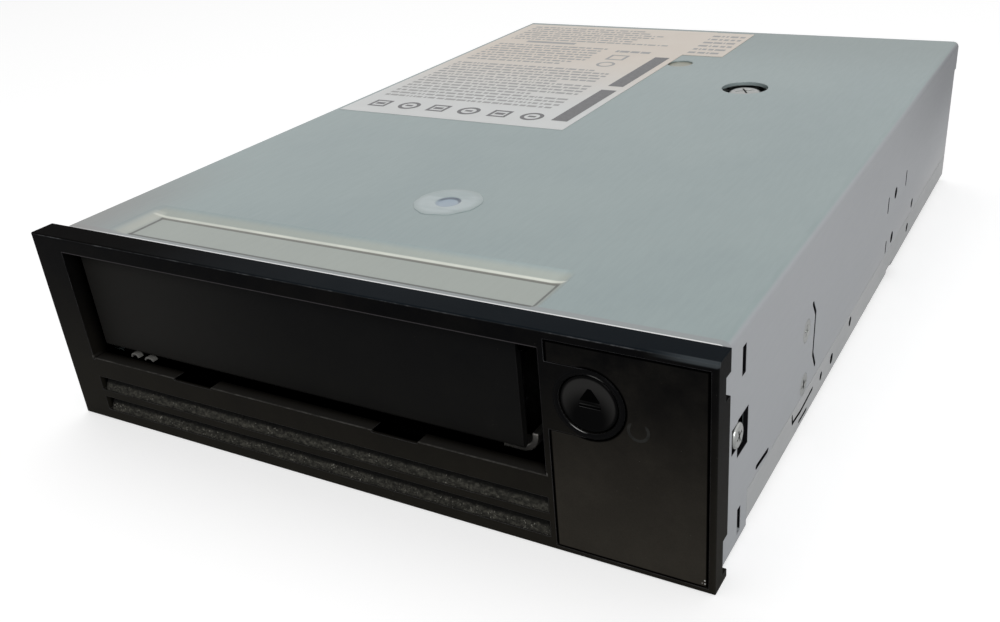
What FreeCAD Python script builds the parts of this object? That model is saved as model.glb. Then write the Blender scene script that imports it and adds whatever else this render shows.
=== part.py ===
import FreeCAD, Part

import math
import os

from FreeCAD import Vector

# Half-height 5.25-inch data tape drive, in millimetres. +X is to the right seen from the front,
# +Y runs from the bezel to the rear and +Z is up. The functions below count Y from the bezel's
# front face; save() moves each piece so that the origin is the middle of the footprint.

# ---------------------------------------------------------------- overall sizes
LENGTH = 210.5            # bezel face to the cover's rear lip
BEZEL_DEPTH = 5.5
BODY_WIDTH = 146.0
BODY_HEIGHT = 41.6
BEZEL_WIDTH = BODY_WIDTH + 2.3
BEZEL_HEIGHT = BODY_HEIGHT + 1.6
BODY_BOTTOM = 0.6         # the bezel hangs this far below the body
SHEET = 1.0               # steel sheet of cover and chassis
REAR_LIP = 2.0            # the cover's lip stands this far behind the rear wall
GAP = 0.15                # between pieces that are assembled side by side
RUNNING = 0.06            # radial running clearance of shafts and pins
COIL_STEPS = 16           # straight lengths in one turn of a spring
WIRE_SIDES = 8

# ---------------------------------------------------------------- mounting pattern
MOUNT_SETBACK = 47.4      # first mounting holes behind the bezel's back
MOUNT_PITCH_Y = 79.25
MOUNT_LOW = 10.0          # lower side holes above the body's bottom
MOUNT_PITCH_Z = 11.84
BOTTOM_PITCH_X = BODY_WIDTH - 6.3
THREAD_R = 1.5            # M3 thread
COLLAR_R = 2.3            # extruded collar that carries the thread
COLLAR_DEPTH = 1.5

# ---------------------------------------------------------------- bezel
OPENING_LEFT = 8.15 - BEZEL_WIDTH / 2
OPENING_RIGHT = BEZEL_WIDTH / 2 - 29.95
OPENING_BOTTOM = 15.1
OPENING_TOP = 40.0
VENT_BOTTOMS = (2.6, 7.6)
VENT_HEIGHT = 3.4
PANEL_LEFT = OPENING_RIGHT + 1.1
PANEL_MARGIN = 1.1        # panel edge to the bezel's outer edge
PANEL_THICK = 1.3
BUTTON_X = PANEL_LEFT + 7.5
BUTTON_Z = 31.5
BUTTON_R = 5.2
BUTTON_TRAVEL = 1.2
RING_R = 6.35             # round end of the bezel's tab around the button
BEZEL_WALL = 1.9
DOOR_RIGHT = OPENING_RIGHT - 6.2
DOOR_BOTTOM = 17.0
DOOR_THICK = 1.6
DOOR_DEPTH = 3.6          # door face behind the bezel face
HINGE_Y = 5.6
HINGE_Z = 38.6
HINGE_BARREL_R = 1.3
HINGE_PIN_R = 0.7

# ---------------------------------------------------------------- inner levels
BOARD_BOTTOM = 3.4
BOARD_THICK = 1.6
DECK_BOTTOM = 6.6
DECK_THICK = 1.8
RAIL_THICK = 2.8
TAPE_BOTTOM = 14.5
TAPE_WIDTH = 12.65
ARM_BOTTOM = 33.2
ARM_THICK = 2.6
BRIDGE_BOTTOM = 36.4
BRIDGE_THICK = 1.6

# ---------------------------------------------------------------- loader
BAY_CENTRE = (OPENING_LEFT + OPENING_RIGHT) / 2
TRAY_HALF = (OPENING_RIGHT - OPENING_LEFT) / 2 - 0.8  # outer half width of the tray
TRAY_WALL = 0.8
TRAY_FLOOR = 13.8
TRAY_FRONT = 8.0
TRAY_LENGTH = 90.0
LOAD_TRAVEL = 10.0
CAM_TRAVEL = 22.0
DROP = 4.5
PLATE = 1.0               # carriage and cam plate sheet
PLATE_GAP = 0.5
PIN_R = 1.5
PIN_Z = 26.0
PIN_PLACES = (34.0, 76.0)
STUD_Z = 33.0
STUD_PLACES = (50.0, 88.0)
SLOT_GAP = 0.15

# ---------------------------------------------------------------- gears
MODULE = 0.5
PRESSURE = math.radians(25.0)
ADDENDUM = 0.8            # in modules
DEDENDUM = 1.05           # in modules
BACKLASH = 0.08
SYNC_Y = 36.0
SYNC_Z = 6.2
SYNC_R = 1.2
RACK_PINION_TEETH = 12
DRIVE_TEETH = 14
SMALL_TEETH = 12
LARGE_TEETH = 32
MOTOR_TEETH = 10
REDUCTION_ANGLE = 130.0   # direction from the sync shaft to the reduction gear, from +Y
MOTOR_ANGLE = 100.0       # direction from the reduction gear to the motor

# ---------------------------------------------------------------- reels, tape path and threader
SUPPLY_Y = 70.0
TAKEUP_X = -22.0
TAKEUP_Y = LENGTH - 47.5
TAKEUP_R = 38.0
HUB_R = 20.0
FLANGE = 1.0
ROTOR_R = 24.0
PIVOT_X = 19.9
PIVOT_Y = TAKEUP_Y - 6.7
PIVOT_R = 3.0
ARM_R = 42.4
ARM_START = -64.7         # degrees, at the cartridge's corner
ARM_SWEEP = 235.6
ARM_TEETH = 70
THREAD_PINION_TEETH = 14
THREAD_MOTOR_ANGLE = 256.0
BLOCK_WIDTH = 8.0
BLOCK_LENGTH = 12.0
ROLLER_RING = ARM_R - 10.4
ROLLER_ANGLES = (-58.0, -25.0, 25.0, 62.0)
ROLLER_R = 4.0
ROLLER_POST_R = 1.25
HEAD_TRAVEL = 4.2
SCREW_X = 41.0
ROD_X = 35.0
ROD_OFFSET = 5.0
ACCESS_X = 28.7           # access hole in the cover, over the bridge screw
ACCESS_Y = PIVOT_Y - 10.3
ACCESS_R = 6.2
BRIDGE_SCREW_R = 4.6

# ---------------------------------------------------------------- derived
HALF = BODY_WIDTH / 2
BODY_TOP = BODY_BOTTOM + BODY_HEIGHT
FLOOR_TOP = BODY_BOTTOM + SHEET
ROOF = BODY_TOP - SHEET
WALL_BACK = LENGTH - REAR_LIP
BODY_FRONT = BEZEL_DEPTH + 0.3
INNER = HALF - SHEET
RAIL_OUT = INNER - 0.2
RAIL_IN = RAIL_OUT - RAIL_THICK
DECK_TOP = DECK_BOTTOM + DECK_THICK
BOARD_TOP = BOARD_BOTTOM + BOARD_THICK
MOUNT_YS = (BEZEL_DEPTH + MOUNT_SETBACK, BEZEL_DEPTH + MOUNT_SETBACK + MOUNT_PITCH_Y)
MOUNT_ZS = (BODY_BOTTOM + MOUNT_LOW, BODY_BOTTOM + MOUNT_LOW + MOUNT_PITCH_Z)
TAPE_TOP = TAPE_BOTTOM + TAPE_WIDTH
CARRIAGE_IN = TRAY_HALF + PLATE_GAP
CAM_IN = CARRIAGE_IN + PLATE + PLATE_GAP
POST_IN = CAM_IN + PLATE + 0.8
SEAM_Z = 8.1              # top of the chassis flange
SEAM_Y = 18.8             # the cover reaches the bottom in front of this
LIP_Z = 34.3


# ---------------------------------------------------------------- shape helpers
def box(x0, x1, y0, y1, z0, z1):
    return Part.makeBox(x1 - x0, y1 - y0, z1 - z0, Vector(x0, y0, z0))


def post(x, y, z0, z1, radius):
    return Part.makeCylinder(radius, z1 - z0, Vector(x, y, z0))


def rod_x(x0, x1, y, z, radius):
    return Part.makeCylinder(radius, x1 - x0, Vector(x0, y, z), Vector(1, 0, 0))


def rod_y(x, y0, y1, z, radius):
    return Part.makeCylinder(radius, y1 - y0, Vector(x, y0, z), Vector(0, 1, 0))


def ring(x, y, z0, z1, outer, inner):
    return post(x, y, z0, z1, outer).cut(post(x, y, z0 - 1, z1 + 1, inner))


def fused(shapes):
    first = shapes[0]
    if len(shapes) == 1:
        return first
    return first.multiFuse(list(shapes[1:])).removeSplitter()


def cut_all(shape, cutters):
    return shape.cut(Part.makeCompound(list(cutters)))


def link(points, width, z0, z1):
    """Flat bar with round ends through points in XY."""
    pieces = [post(x, y, z0, z1, width / 2) for x, y in points]
    for (xa, ya), (xb, yb) in zip(points, points[1:]):
        run = math.hypot(xb - xa, yb - ya)
        bar = box(0, run, -width / 2, width / 2, z0, z1)
        bar.rotate(Vector(0, 0, 0), Vector(0, 0, 1), math.degrees(math.atan2(yb - ya, xb - xa)))
        bar.translate(Vector(xa, ya, 0))
        pieces.append(bar)
    return fused(pieces)


def side_slot(points, width, x0, x1):
    """Bar with round ends through points in YZ, running from x0 to x1."""
    bar = link(points, width, x0, x1)
    bar.transformShape(AXES_TO_X)
    return bar


def rounded(shape, radius, chosen):
    edges = [edge for edge in shape.Edges if chosen(edge)]
    return shape.makeFillet(radius, edges)


def mirrored(shape):
    """The same piece on the other side of the body."""
    return shape.mirror(Vector(0, 0, 0), Vector(1, 0, 0))


def bay_pair(shape):
    """The right-hand piece and its mirror about the loading bay's centre."""
    return [shape, shape.mirror(Vector(BAY_CENTRE, 0, 0), Vector(1, 0, 0))]


def along(edge, axis):
    """True if a straight edge runs along the axis with this index."""
    if edge.Curve.TypeId != "Part::GeomLine":
        return False
    return abs(abs(edge.tangentAt(edge.FirstParameter)[axis]) - 1) < 1e-6


def polar(x, y, radius, degrees):
    turn = math.radians(degrees)
    return (x + radius * math.cos(turn), y + radius * math.sin(turn))


def pan_screw(radius, shank_r, shank_length, head_height):
    """Pan-head cross-recess screw along +Z, with the head's underside at z = 0."""
    head = post(0, 0, 0, head_height, radius)
    head = rounded(head, head_height * 0.45, lambda e: e.BoundBox.ZMin > head_height - 0.01)
    arm = radius * 0.55
    slot = shank_r * 0.16
    depth = head_height * 0.55
    cross = fused([box(-arm, arm, -slot, slot, depth, head_height + 1),
                   box(-slot, slot, -arm, arm, depth, head_height + 1)])
    return head.fuse(post(0, 0, -shank_length, 0, shank_r)).removeSplitter().cut(cross)


def placed(shape, x, y, z, axis, turn=0.0):
    """A copy whose local +Z points along the axis, at this place."""
    copy = shape.copy()
    spin = FreeCAD.Rotation(Vector(0, 0, 1), turn)
    tip = FreeCAD.Rotation(Vector(0, 0, 1), Vector(*axis))
    copy.Placement = FreeCAD.Placement(Vector(x, y, z), tip.multiply(spin)).multiply(copy.Placement)
    return copy


def coil(radius, wire_r, height, turns):
    """Helical spring along +Z from z = 0, of short straight lengths of wire."""
    rise = height - 2 * wire_r
    count = COIL_STEPS * turns
    path = []
    for step in range(count + 1):
        angle = 2 * math.pi * step / COIL_STEPS
        level = wire_r + rise * step / count
        path.append(Vector(radius * math.cos(angle), radius * math.sin(angle), level))
    outline = []
    for side in range(WIRE_SIDES + 1):
        angle = 2 * math.pi * side / WIRE_SIDES
        outline.append(Vector(radius + wire_r * math.cos(angle), 0, wire_r + wire_r * math.sin(angle)))
    section = Part.makePolygon(outline)
    mitred = 1
    return Part.Wire(Part.makePolygon(path).Edges).makePipeShell([section], True, True, mitred)


# local x, y, z become world y, z, x
AXES_TO_X = FreeCAD.Matrix(0, 0, 1, 0, 1, 0, 0, 0, 0, 1, 0, 0, 0, 0, 0, 1)


# ---------------------------------------------------------------- gear helpers
def involute(angle):
    return math.tan(angle) - angle


def gear_outline(teeth, phase):
    """Closed outline of an involute gear about the origin, one tooth centred on the phase."""
    pitch_r = MODULE * teeth / 2
    base_r = pitch_r * math.cos(PRESSURE)
    tip_r = pitch_r + ADDENDUM * MODULE
    root_r = pitch_r - DEDENDUM * MODULE
    half = math.pi / (2 * teeth) - BACKLASH / (4 * pitch_r) + involute(PRESSURE)
    start_r = max(base_r, root_r)
    steps = 4
    flank = []
    for step in range(steps + 1):
        radius = start_r + (tip_r - start_r) * step / steps
        flank.append((radius, half - involute(math.acos(min(1.0, base_r / radius)))))
    if root_r < start_r:
        flank.insert(0, (root_r, flank[0][1]))
    points = []
    for tooth in range(teeth):
        centre = math.radians(phase) + 2 * math.pi * tooth / teeth
        rising = [(radius, centre - angle) for radius, angle in flank]
        falling = [(radius, centre + angle) for radius, angle in reversed(flank)]
        for radius, angle in rising + falling:
            points.append(Vector(radius * math.cos(angle), radius * math.sin(angle), 0))
    points.append(points[0])
    return Part.makePolygon(points)


def gear(teeth, phase, z0, z1):
    """Solid gear along Z about the origin."""
    blank = Part.Face(gear_outline(teeth, phase)).extrude(Vector(0, 0, z1 - z0))
    blank.translate(Vector(0, 0, z0))
    return blank


def gear_x(teeth, phase, x0, x1, y, z):
    """Gear on an axis along X, phase counted from +Y towards +Z."""
    blank = gear(teeth, phase, x0, x1)
    blank.transformShape(AXES_TO_X)
    blank.translate(Vector(0, y, z))
    return blank


def mesh_phase(phase_a, teeth_a, teeth_b, direction):
    """Phase of gear B that meshes with gear A, seen from A in this direction."""
    part_a = ((direction - phase_a) * teeth_a / 360.0) % 1.0
    return direction + 180.0 - (0.5 - part_a) * 360.0 / teeth_b


def centre_distance(teeth_a, teeth_b):
    return MODULE * (teeth_a + teeth_b) / 2


RACK_PINION_R = MODULE * RACK_PINION_TEETH / 2
RACK_LINE = SYNC_Z + RACK_PINION_R
SYNC_PHASE = 90.0
REDUCTION_Y, REDUCTION_Z = polar(SYNC_Y, SYNC_Z, centre_distance(DRIVE_TEETH, SMALL_TEETH), REDUCTION_ANGLE)
REDUCTION_PHASE = mesh_phase(SYNC_PHASE, DRIVE_TEETH, SMALL_TEETH, REDUCTION_ANGLE)
MOTOR_Y, MOTOR_Z = polar(REDUCTION_Y, REDUCTION_Z, centre_distance(LARGE_TEETH, MOTOR_TEETH), MOTOR_ANGLE)
MOTOR_PHASE = mesh_phase(REDUCTION_PHASE, LARGE_TEETH, MOTOR_TEETH, MOTOR_ANGLE)
THREAD_MOTOR = polar(PIVOT_X, PIVOT_Y, centre_distance(ARM_TEETH, THREAD_PINION_TEETH), THREAD_MOTOR_ANGLE)
THREAD_PHASE = mesh_phase(0.0, ARM_TEETH, THREAD_PINION_TEETH, THREAD_MOTOR_ANGLE)
DRIVE_X = BAY_CENTRE + POST_IN + 1.0      # drive gear's left face
GEAR_WIDTH = 2.0
LARGE_X = DRIVE_X + GEAR_WIDTH + 0.7
WALL_X = LARGE_X + GEAR_WIDTH + 1.3       # motor wall's left face
WALL_THICK = 2.0
BRIDGE_POST = (6.0, 127.0)
STUD_POST_HALF = 4.0


# ---------------------------------------------------------------- sheet-metal body
def side_mount_collars(places):
    """Threaded collars inside the right wall."""
    shapes = []
    for y, z in places:
        collar = rod_x(INNER - COLLAR_DEPTH, INNER + 0.2, y, z, COLLAR_R)
        shapes.append(collar)
    return shapes


def side_mount_holes(places):
    return [rod_x(INNER - COLLAR_DEPTH - 1, HALF + 1, y, z, THREAD_R) for y, z in places]


MOUNT_PLACES = [(y, z) for y in MOUNT_YS for z in MOUNT_ZS]
TAB_Y = (10.0, 15.5)      # inward-formed tab under each bezel screw
TAB_Z = (20.6, 25.6)
TAB_DEPTH = 0.8
WINDOW_Y = (12.8, 18.2)
WINDOW_Z = (18.5, 26.0)
BEZEL_SCREW = (12.9, 23.0)
SIDE_SCREW_HEAD_R = 2.3
SIDE_SCREW_HEAD = 0.6


def right_wall_cuts():
    """Slots and holes that only the right wall has."""
    x0 = INNER - 3
    x1 = HALF + 1
    snake = [(56.7, 26.6), (59.0, 23.5), (58.7, 14.5), (60.9, 10.9)]
    return [
        side_slot(snake, 1.0, x0, x1),
        side_slot([(23.9, 9.7), (30.3, 9.2)], 1.1, x0, x1),
        side_slot([(124.0, 20.4), (124.0, 23.6)], 1.2, x0, x1),
        side_slot([(144.8, 20.4), (144.8, 23.6)], 1.2, x0, x1),
        side_slot([(125.5, 9.2), (125.5, 11.6)], 1.2, x0, x1),
        rod_x(x0, x1, 157.2, 10.7, 1.3),
    ]


def both_wall_cuts():
    """Bezel latch slots and windows of the right wall, which the left wall repeats."""
    x0 = INNER - 3
    x1 = HALF + 1
    window = box(x0, x1, WINDOW_Y[0], WINDOW_Y[1], WINDOW_Z[0], WINDOW_Z[1])
    upper_slot = box(x0, x1, 14.3, 16.2, 33.2, 38.6)
    lower_slot = box(x0, x1, 13.8, 15.5, 1.9, 7.4)
    return [upper_slot, lower_slot], window


def wall_tab():
    """The tab that stands inside a window and takes the bezel screw."""
    x1 = HALF - TAB_DEPTH
    return box(x1 - SHEET, x1, TAB_Y[0], TAB_Y[1], TAB_Z[0], TAB_Z[1])


def rounded_rect(x0, x1, y0, y1, z, radius):
    slab = box(x0, x1, y0, y1, z, z + 1)
    slab = rounded(slab, radius, lambda e: along(e, 2))
    for face in slab.Faces:
        if abs(face.CenterOfMass.z - z) < 1e-6:
            return face.OuterWire


RECESS_OUTER = (-62.0, 40.0, 8.4, 23.8)
RECESS_INNER = (-57.0, 37.8, 9.3, 19.5)
RECESS_DEPTH = 1.0


def recess_form(drop):
    """Pressed panel in the roof, as a tapered block that goes this far below the top."""
    top = rounded_rect(*RECESS_OUTER, BODY_TOP - drop + RECESS_DEPTH, 2.2)
    floor = rounded_rect(*RECESS_INNER, BODY_TOP - drop, 1.6)
    return Part.makeLoft([floor, top], True, True)


def top_cover():
    outer = box(-HALF, HALF, BODY_FRONT, LENGTH, BODY_BOTTOM, BODY_TOP)
    outer = rounded(outer, 1.6, lambda e: along(e, 1) and e.BoundBox.ZMin > BODY_TOP - 0.1)
    inner = box(-INNER, INNER, BODY_FRONT - 1, LENGTH - SHEET, BODY_BOTTOM - 1, ROOF)
    inner = rounded(inner, 0.6, lambda e: along(e, 1) and e.BoundBox.ZMin > ROOF - 0.1)
    shell = outer.cut(inner)
    below_seam = box(-HALF - 1, HALF + 1, SEAM_Y, LENGTH + 1, BODY_BOTTOM - 1, SEAM_Z + GAP)
    behind_wall = box(-HALF - 1, HALF + 1, WALL_BACK, LENGTH + 1, BODY_BOTTOM - 1, LIP_Z)
    shell = cut_all(shell, [below_seam, behind_wall])
    shell = shell.fuse(recess_form(RECESS_DEPTH + SHEET))
    shell = shell.cut(recess_form(RECESS_DEPTH))
    latches, window = both_wall_cuts()
    pocket = box(HALF - TAB_DEPTH, HALF + 1, TAB_Y[0], TAB_Y[1], TAB_Z[0], TAB_Z[1])
    cuts = latches + [window, pocket]
    shell = cut_all(shell, cuts + [mirrored(s) for s in cuts] + right_wall_cuts())
    collars = side_mount_collars(MOUNT_PLACES) + [wall_tab()]
    shell = fused([shell] + collars + [mirrored(s) for s in collars])
    screw_holes = side_mount_holes(MOUNT_PLACES)
    screw_holes.append(rod_x(INNER - 3, HALF + 1, BEZEL_SCREW[0], BEZEL_SCREW[1], THREAD_R + 0.1))
    countersinks = []
    for z in MOUNT_ZS:
        countersinks.append(rod_x(HALF - SIDE_SCREW_HEAD, HALF + 1, MOUNT_YS[0], z, SIDE_SCREW_HEAD_R + 0.05))
    access = post(ACCESS_X, ACCESS_Y, ROOF - 2, BODY_TOP + 1, ACCESS_R)
    seal_hole = post(SEAL_X, SEAL_Y, ROOF - 2, BODY_TOP + 1, SEAL_HOLE_R)
    label_hole = post(LABEL_HOLE[0], LABEL_HOLE[1], ROOF - 2, BODY_TOP + 1, LABEL_HOLE_R)
    rear = [rod_y(x, LENGTH - SHEET - 1, LENGTH + 1, REAR_SCREW_Z, THREAD_R + GAP) for x in REAR_SCREWS]
    rear += [rod_y(x, LENGTH - SIDE_SCREW_HEAD, LENGTH + 1, REAR_SCREW_Z, SIDE_SCREW_HEAD_R + 0.05)
             for x in REAR_SCREWS]
    return cut_all(shell, screw_holes + [mirrored(s) for s in screw_holes] + countersinks
                   + [access, seal_hole, label_hole] + rear)


SEAL_X = -1.5
SEAL_Y = 45.6
SEAL_R = 6.3
SEAL_HOLE_R = 2.7
STICKER = 0.12
LABEL_HOLE = (1.8, LENGTH - 43.5)
LABEL_HOLE_R = 3.7
REAR_SCREWS = (13.0 - HALF, HALF - 13.0)
REAR_SCREW_Z = 37.8
CONNECTOR_X = (-30.0, 12.7)
SERVICE_X = (30.0, 44.0)
CONNECTOR_TOP = 12.2
FOOT_YS = (26.0, 100.0, WALL_BACK - 18.5)
FOOT_X = HALF - 4.4
FOOT_R = 3.0


def flange_cuts():
    """Holes and notches in the right flange of the chassis."""
    x0 = INNER - 1
    x1 = HALF + 1
    return [
        side_slot([(45.9, 7.2), (46.3, 5.4), (52.0, 5.0), (60.3, 5.6)], 0.9, x0, x1),
        side_slot([(51.0, 3.0), (56.3, 3.0)], 0.8, x0, x1),
        rod_x(x0, x1, 75.3, 4.8, 1.25),
        rod_x(x0, x1, 66.8, 5.0, 1.0),
        rod_x(x0, x1, 91.0, 6.2, 1.2),
        rod_x(x0, x1, 153.5, 5.0, 1.3),
        box(x0, x1, 129.0, 136.0, BODY_BOTTOM - 1, 2.6),
    ]


def rear_vents():
    """Rows of exhaust slots through the rear wall."""
    slots = []
    margin = 13.0
    pitch = (BODY_WIDTH - 2 * margin - 5.6) / 11
    for row in range(3):
        z = 18.0 + 6.0 * row
        for column in range(12):
            x = margin - HALF + pitch * column
            slots.append(box(x, x + 7.0, WALL_BACK - SHEET - 1, WALL_BACK + 1, z, z + 2.6))
    return slots


def chassis_base():
    outer = box(-HALF, HALF, SEAM_Y + GAP, WALL_BACK, BODY_BOTTOM, SEAM_Z)
    outer = rounded(outer, 1.5, lambda e: along(e, 1) and e.BoundBox.ZMax < BODY_BOTTOM + 0.1)
    inner = box(-INNER, INNER, SEAM_Y - 2, WALL_BACK - SHEET, FLOOR_TOP, SEAM_Z + 1)
    inner = rounded(inner, 0.5, lambda e: along(e, 1) and e.BoundBox.ZMax < FLOOR_TOP + 0.1)
    tongue = box(-INNER + GAP, INNER - GAP, BODY_FRONT + 1.2, SEAM_Y + 1, BODY_BOTTOM, FLOOR_TOP)
    wall = box(-INNER + GAP, INNER - GAP, WALL_BACK - SHEET, WALL_BACK, BODY_BOTTOM + 0.5, ROOF - GAP)
    shell = fused([outer.cut(inner), tongue, wall])
    bosses = [post(x, y, BODY_BOTTOM + 0.3, FLOOR_TOP + COLLAR_DEPTH, COLLAR_R)
              for x in (-BOTTOM_PITCH_X / 2, BOTTOM_PITCH_X / 2) for y in MOUNT_YS]
    standoffs = [post(x, y, FLOOR_TOP - 0.3, BOARD_BOTTOM, 2.5) for x, y in BOARD_SCREWS]
    shell = fused([shell] + bosses + standoffs)
    holes = [post(x, y, BODY_BOTTOM - 1, FLOOR_TOP + COLLAR_DEPTH + 1, THREAD_R)
             for x in (-BOTTOM_PITCH_X / 2, BOTTOM_PITCH_X / 2) for y in MOUNT_YS]
    for x in (-FOOT_X, FOOT_X):
        for y in FOOT_YS:
            holes.append(post(x, y, BODY_BOTTOM - 1, FLOOR_TOP + 1, THREAD_R + 0.05))
            holes.append(post(x, y, BODY_BOTTOM - 1, BODY_BOTTOM + SIDE_SCREW_HEAD, SIDE_SCREW_HEAD_R + 0.05))
    holes += [post(x, y, FLOOR_TOP, BOARD_BOTTOM + 1, 0.8) for x, y in BOARD_SCREWS]
    holes += [rod_y(x, WALL_BACK - SHEET - 1, WALL_BACK + 1, REAR_SCREW_Z, THREAD_R + GAP) for x in REAR_SCREWS]
    for left, right in (CONNECTOR_X, SERVICE_X):
        holes.append(box(left - 0.5, right + 0.5, WALL_BACK - 3, WALL_BACK + 1, BOARD_BOTTOM - 0.2,
                         CONNECTOR_TOP + 0.5))
    return cut_all(shell, holes + flange_cuts() + rear_vents())


# ---------------------------------------------------------------- cast deck
BOARD_SCREWS = [(x, y) for y in (50.0, WALL_BACK - 12.5) for x in (21.0 - HALF, HALF - 21.0)]


def right_rail():
    """Side rail that the cover and the side screws bear on."""
    rail = box(RAIL_IN, RAIL_OUT, 20.0, WALL_BACK - SHEET - 0.5, DECK_BOTTOM, ROOF - 0.4)
    pockets = []
    for y, z in MOUNT_PLACES:
        pockets.append(rod_x(RAIL_IN - 1, RAIL_OUT + 1, y, z, COLLAR_R + 0.3))
    for y in range(62, int(WALL_BACK) - 10, 24):
        pockets.append(box(RAIL_IN - 1, RAIL_OUT + 1, y, y + 14.0, 27.0, 36.0))
    return cut_all(rail, pockets)


def rear_screw_blocks():
    """Lugs of the side rails that the rear screws bite into."""
    back = WALL_BACK - SHEET
    low = REAR_SCREW_Z - 3.5
    blocks = [box(REAR_SCREWS[1] - 4, RAIL_OUT, back - 5, back, low, REAR_SCREW_Z + 3.0),
              box(-RAIL_OUT, REAR_SCREWS[0] + 4, back - 5, back, low, REAR_SCREW_Z + 3.0)]
    bores = [rod_y(x, back - 6, back + 1, REAR_SCREW_Z, THREAD_R) for x in REAR_SCREWS]
    return cut_all(Part.makeCompound(blocks), bores).Solids


def deck_frame():
    plate = box(-RAIL_OUT, RAIL_OUT, 10.0, WALL_BACK - 14.5, DECK_BOTTOM, DECK_TOP)
    rail = right_rail()
    feet = []
    for x in (-FOOT_X, FOOT_X):
        for y in FOOT_YS:
            feet.append(post(x, y, FLOOR_TOP, DECK_BOTTOM + 0.5, FOOT_R))
    stud_posts = []
    for y in STUD_PLACES:
        x0 = BAY_CENTRE + POST_IN
        stud_posts.append(box(x0, x0 + 3.4, y - STUD_POST_HALF, y + STUD_POST_HALF, DECK_TOP - 0.5, STUD_Z + 4))
    motor_wall = box(WALL_X, WALL_X + WALL_THICK, REDUCTION_Y - 10, REDUCTION_Y + 9, DECK_TOP - 0.5,
                     MOTOR_Z + 8)
    spindle = rod_x(LARGE_X - GEAR_WIDTH - 0.7, WALL_X + 0.5, REDUCTION_Y, REDUCTION_Z, 1.0)
    lugs = [box(x - 2.5, x + 2.5, SYNC_Y - 4, SYNC_Y + 4, SYNC_Z - 2.8, DECK_TOP) for x in SYNC_LUGS]
    bridge_post = post(*BRIDGE_POST, DECK_TOP - 0.5, BRIDGE_BOTTOM, 2.5)
    solid = fused([plate, rail, mirrored(rail), motor_wall, spindle, bridge_post] + rear_screw_blocks()
                  + feet + stud_posts + lugs)
    openings = [post(BAY_CENTRE, SUPPLY_Y, 0, DECK_TOP + 1, ROTOR_R + 2),
                post(TAKEUP_X, TAKEUP_Y, 0, DECK_TOP + 1, ROTOR_R + 2),
                post(SCREW_X, PIVOT_Y, 0, DECK_TOP + 1, 1.6),
                box(DRIVE_X - 1.2, WALL_X - 0.6, REDUCTION_Y - 9.5, SYNC_Y + 6, 0, DECK_TOP + 1)]
    runs = (-RAIL_IN + 3.5, SYNC_LUGS[0] - 2.5), (SYNC_LUGS[0] + 2.5, SYNC_LUGS[1] - 2.5)
    for x0, x1 in runs + ((SYNC_LUGS[1] + 2.5, DRIVE_X),):
        openings.append(box(x0, x1, SYNC_Y - 2.2, SYNC_Y + 2.2, 0, DECK_TOP + 1))
    for x in (BAY_CENTRE - CAM_IN - PLATE / 2, BAY_CENTRE + CAM_IN + PLATE / 2):
        openings.append(box(x - 1.4, x + 1.4, SYNC_Y - 4.5, SYNC_Y + 4.5, 0, DECK_TOP + 1))
    openings.append(rod_x(-HALF, HALF, SYNC_Y, SYNC_Z, SYNC_R + RUNNING))
    openings.append(rod_x(WALL_X - 1, WALL_X + WALL_THICK + 1, MOTOR_Y, MOTOR_Z, 2.2))
    for x in (-BOTTOM_PITCH_X / 2, BOTTOM_PITCH_X / 2):
        openings += [post(x, y, 0, DECK_TOP + 1, COLLAR_R + 0.3) for y in MOUNT_YS]
    for x in (-FOOT_X, FOOT_X):
        openings += [post(x, y, 0, DECK_TOP - 1, THREAD_R) for y in FOOT_YS]
    openings += stud_bores()
    return cut_all(solid, openings)


SYNC_LUGS = (-50.0, 30.0)


def stud_bores():
    return [shape for y in STUD_PLACES
            for shape in bay_pair(rod_x(BAY_CENTRE + POST_IN - 1, BAY_CENTRE + POST_IN + 1.8, y, STUD_Z, PIN_R))]


def guide_studs():
    """Fixed studs that carry the carriage and the cam plates."""
    studs = []
    for y in STUD_PLACES:
        studs += bay_pair(rod_x(BAY_CENTRE + TRAY_HALF + 0.3, BAY_CENTRE + POST_IN + 1.8, y, STUD_Z, PIN_R))
    return Part.makeCompound(studs)


# ---------------------------------------------------------------- bezel and front parts
SILL_NOTCHES = ((OPENING_LEFT + 23.7, OPENING_LEFT + 33.8), (OPENING_RIGHT - 36.5, OPENING_RIGHT - 26.2))
PAD_SPANS = ((OPENING_LEFT + 0.3, SILL_NOTCHES[0][0]), (SILL_NOTCHES[0][1], SILL_NOTCHES[1][0]),
             (SILL_NOTCHES[1][1], OPENING_RIGHT))
LATCH_NOTCHES = ((3.4, 35.0, 39.2), (3.5, 1.5, 8.7))  # front, bottom and top in the bezel's side walls
PAD_RAISE = 0.4
EAR_X = (DOOR_RIGHT + 0.3, DOOR_RIGHT + 1.8)
PANEL_BOARD_Y = BEZEL_DEPTH + 1.1
FLANGE_BACK = BEZEL_WALL + 1.3  # back of the button's flange, behind the bezel's front wall
STEM_END = FLANGE_BACK + 0.4
RIBBON_X = (PANEL_LEFT + 10.5, PANEL_LEFT + 19.7)


def panel_edges(margin):
    """Left, right, bottom and top of the control panel, shrunk by this margin."""
    right = BEZEL_WIDTH / 2 - PANEL_MARGIN
    return (PANEL_LEFT + margin, right - margin, PANEL_MARGIN + margin, BEZEL_HEIGHT - PANEL_MARGIN - 0.3 - margin)


def button_tab(margin, y0, y1):
    """The bezel's tab around the button, which the panel is cut out for."""
    bar = box(PANEL_LEFT - 1, BUTTON_X, y0, y1, BUTTON_Z - RING_R - margin, BUTTON_Z + RING_R + margin)
    return bar.fuse(rod_y(BUTTON_X, y0, y1, BUTTON_Z, RING_R + margin))


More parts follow.
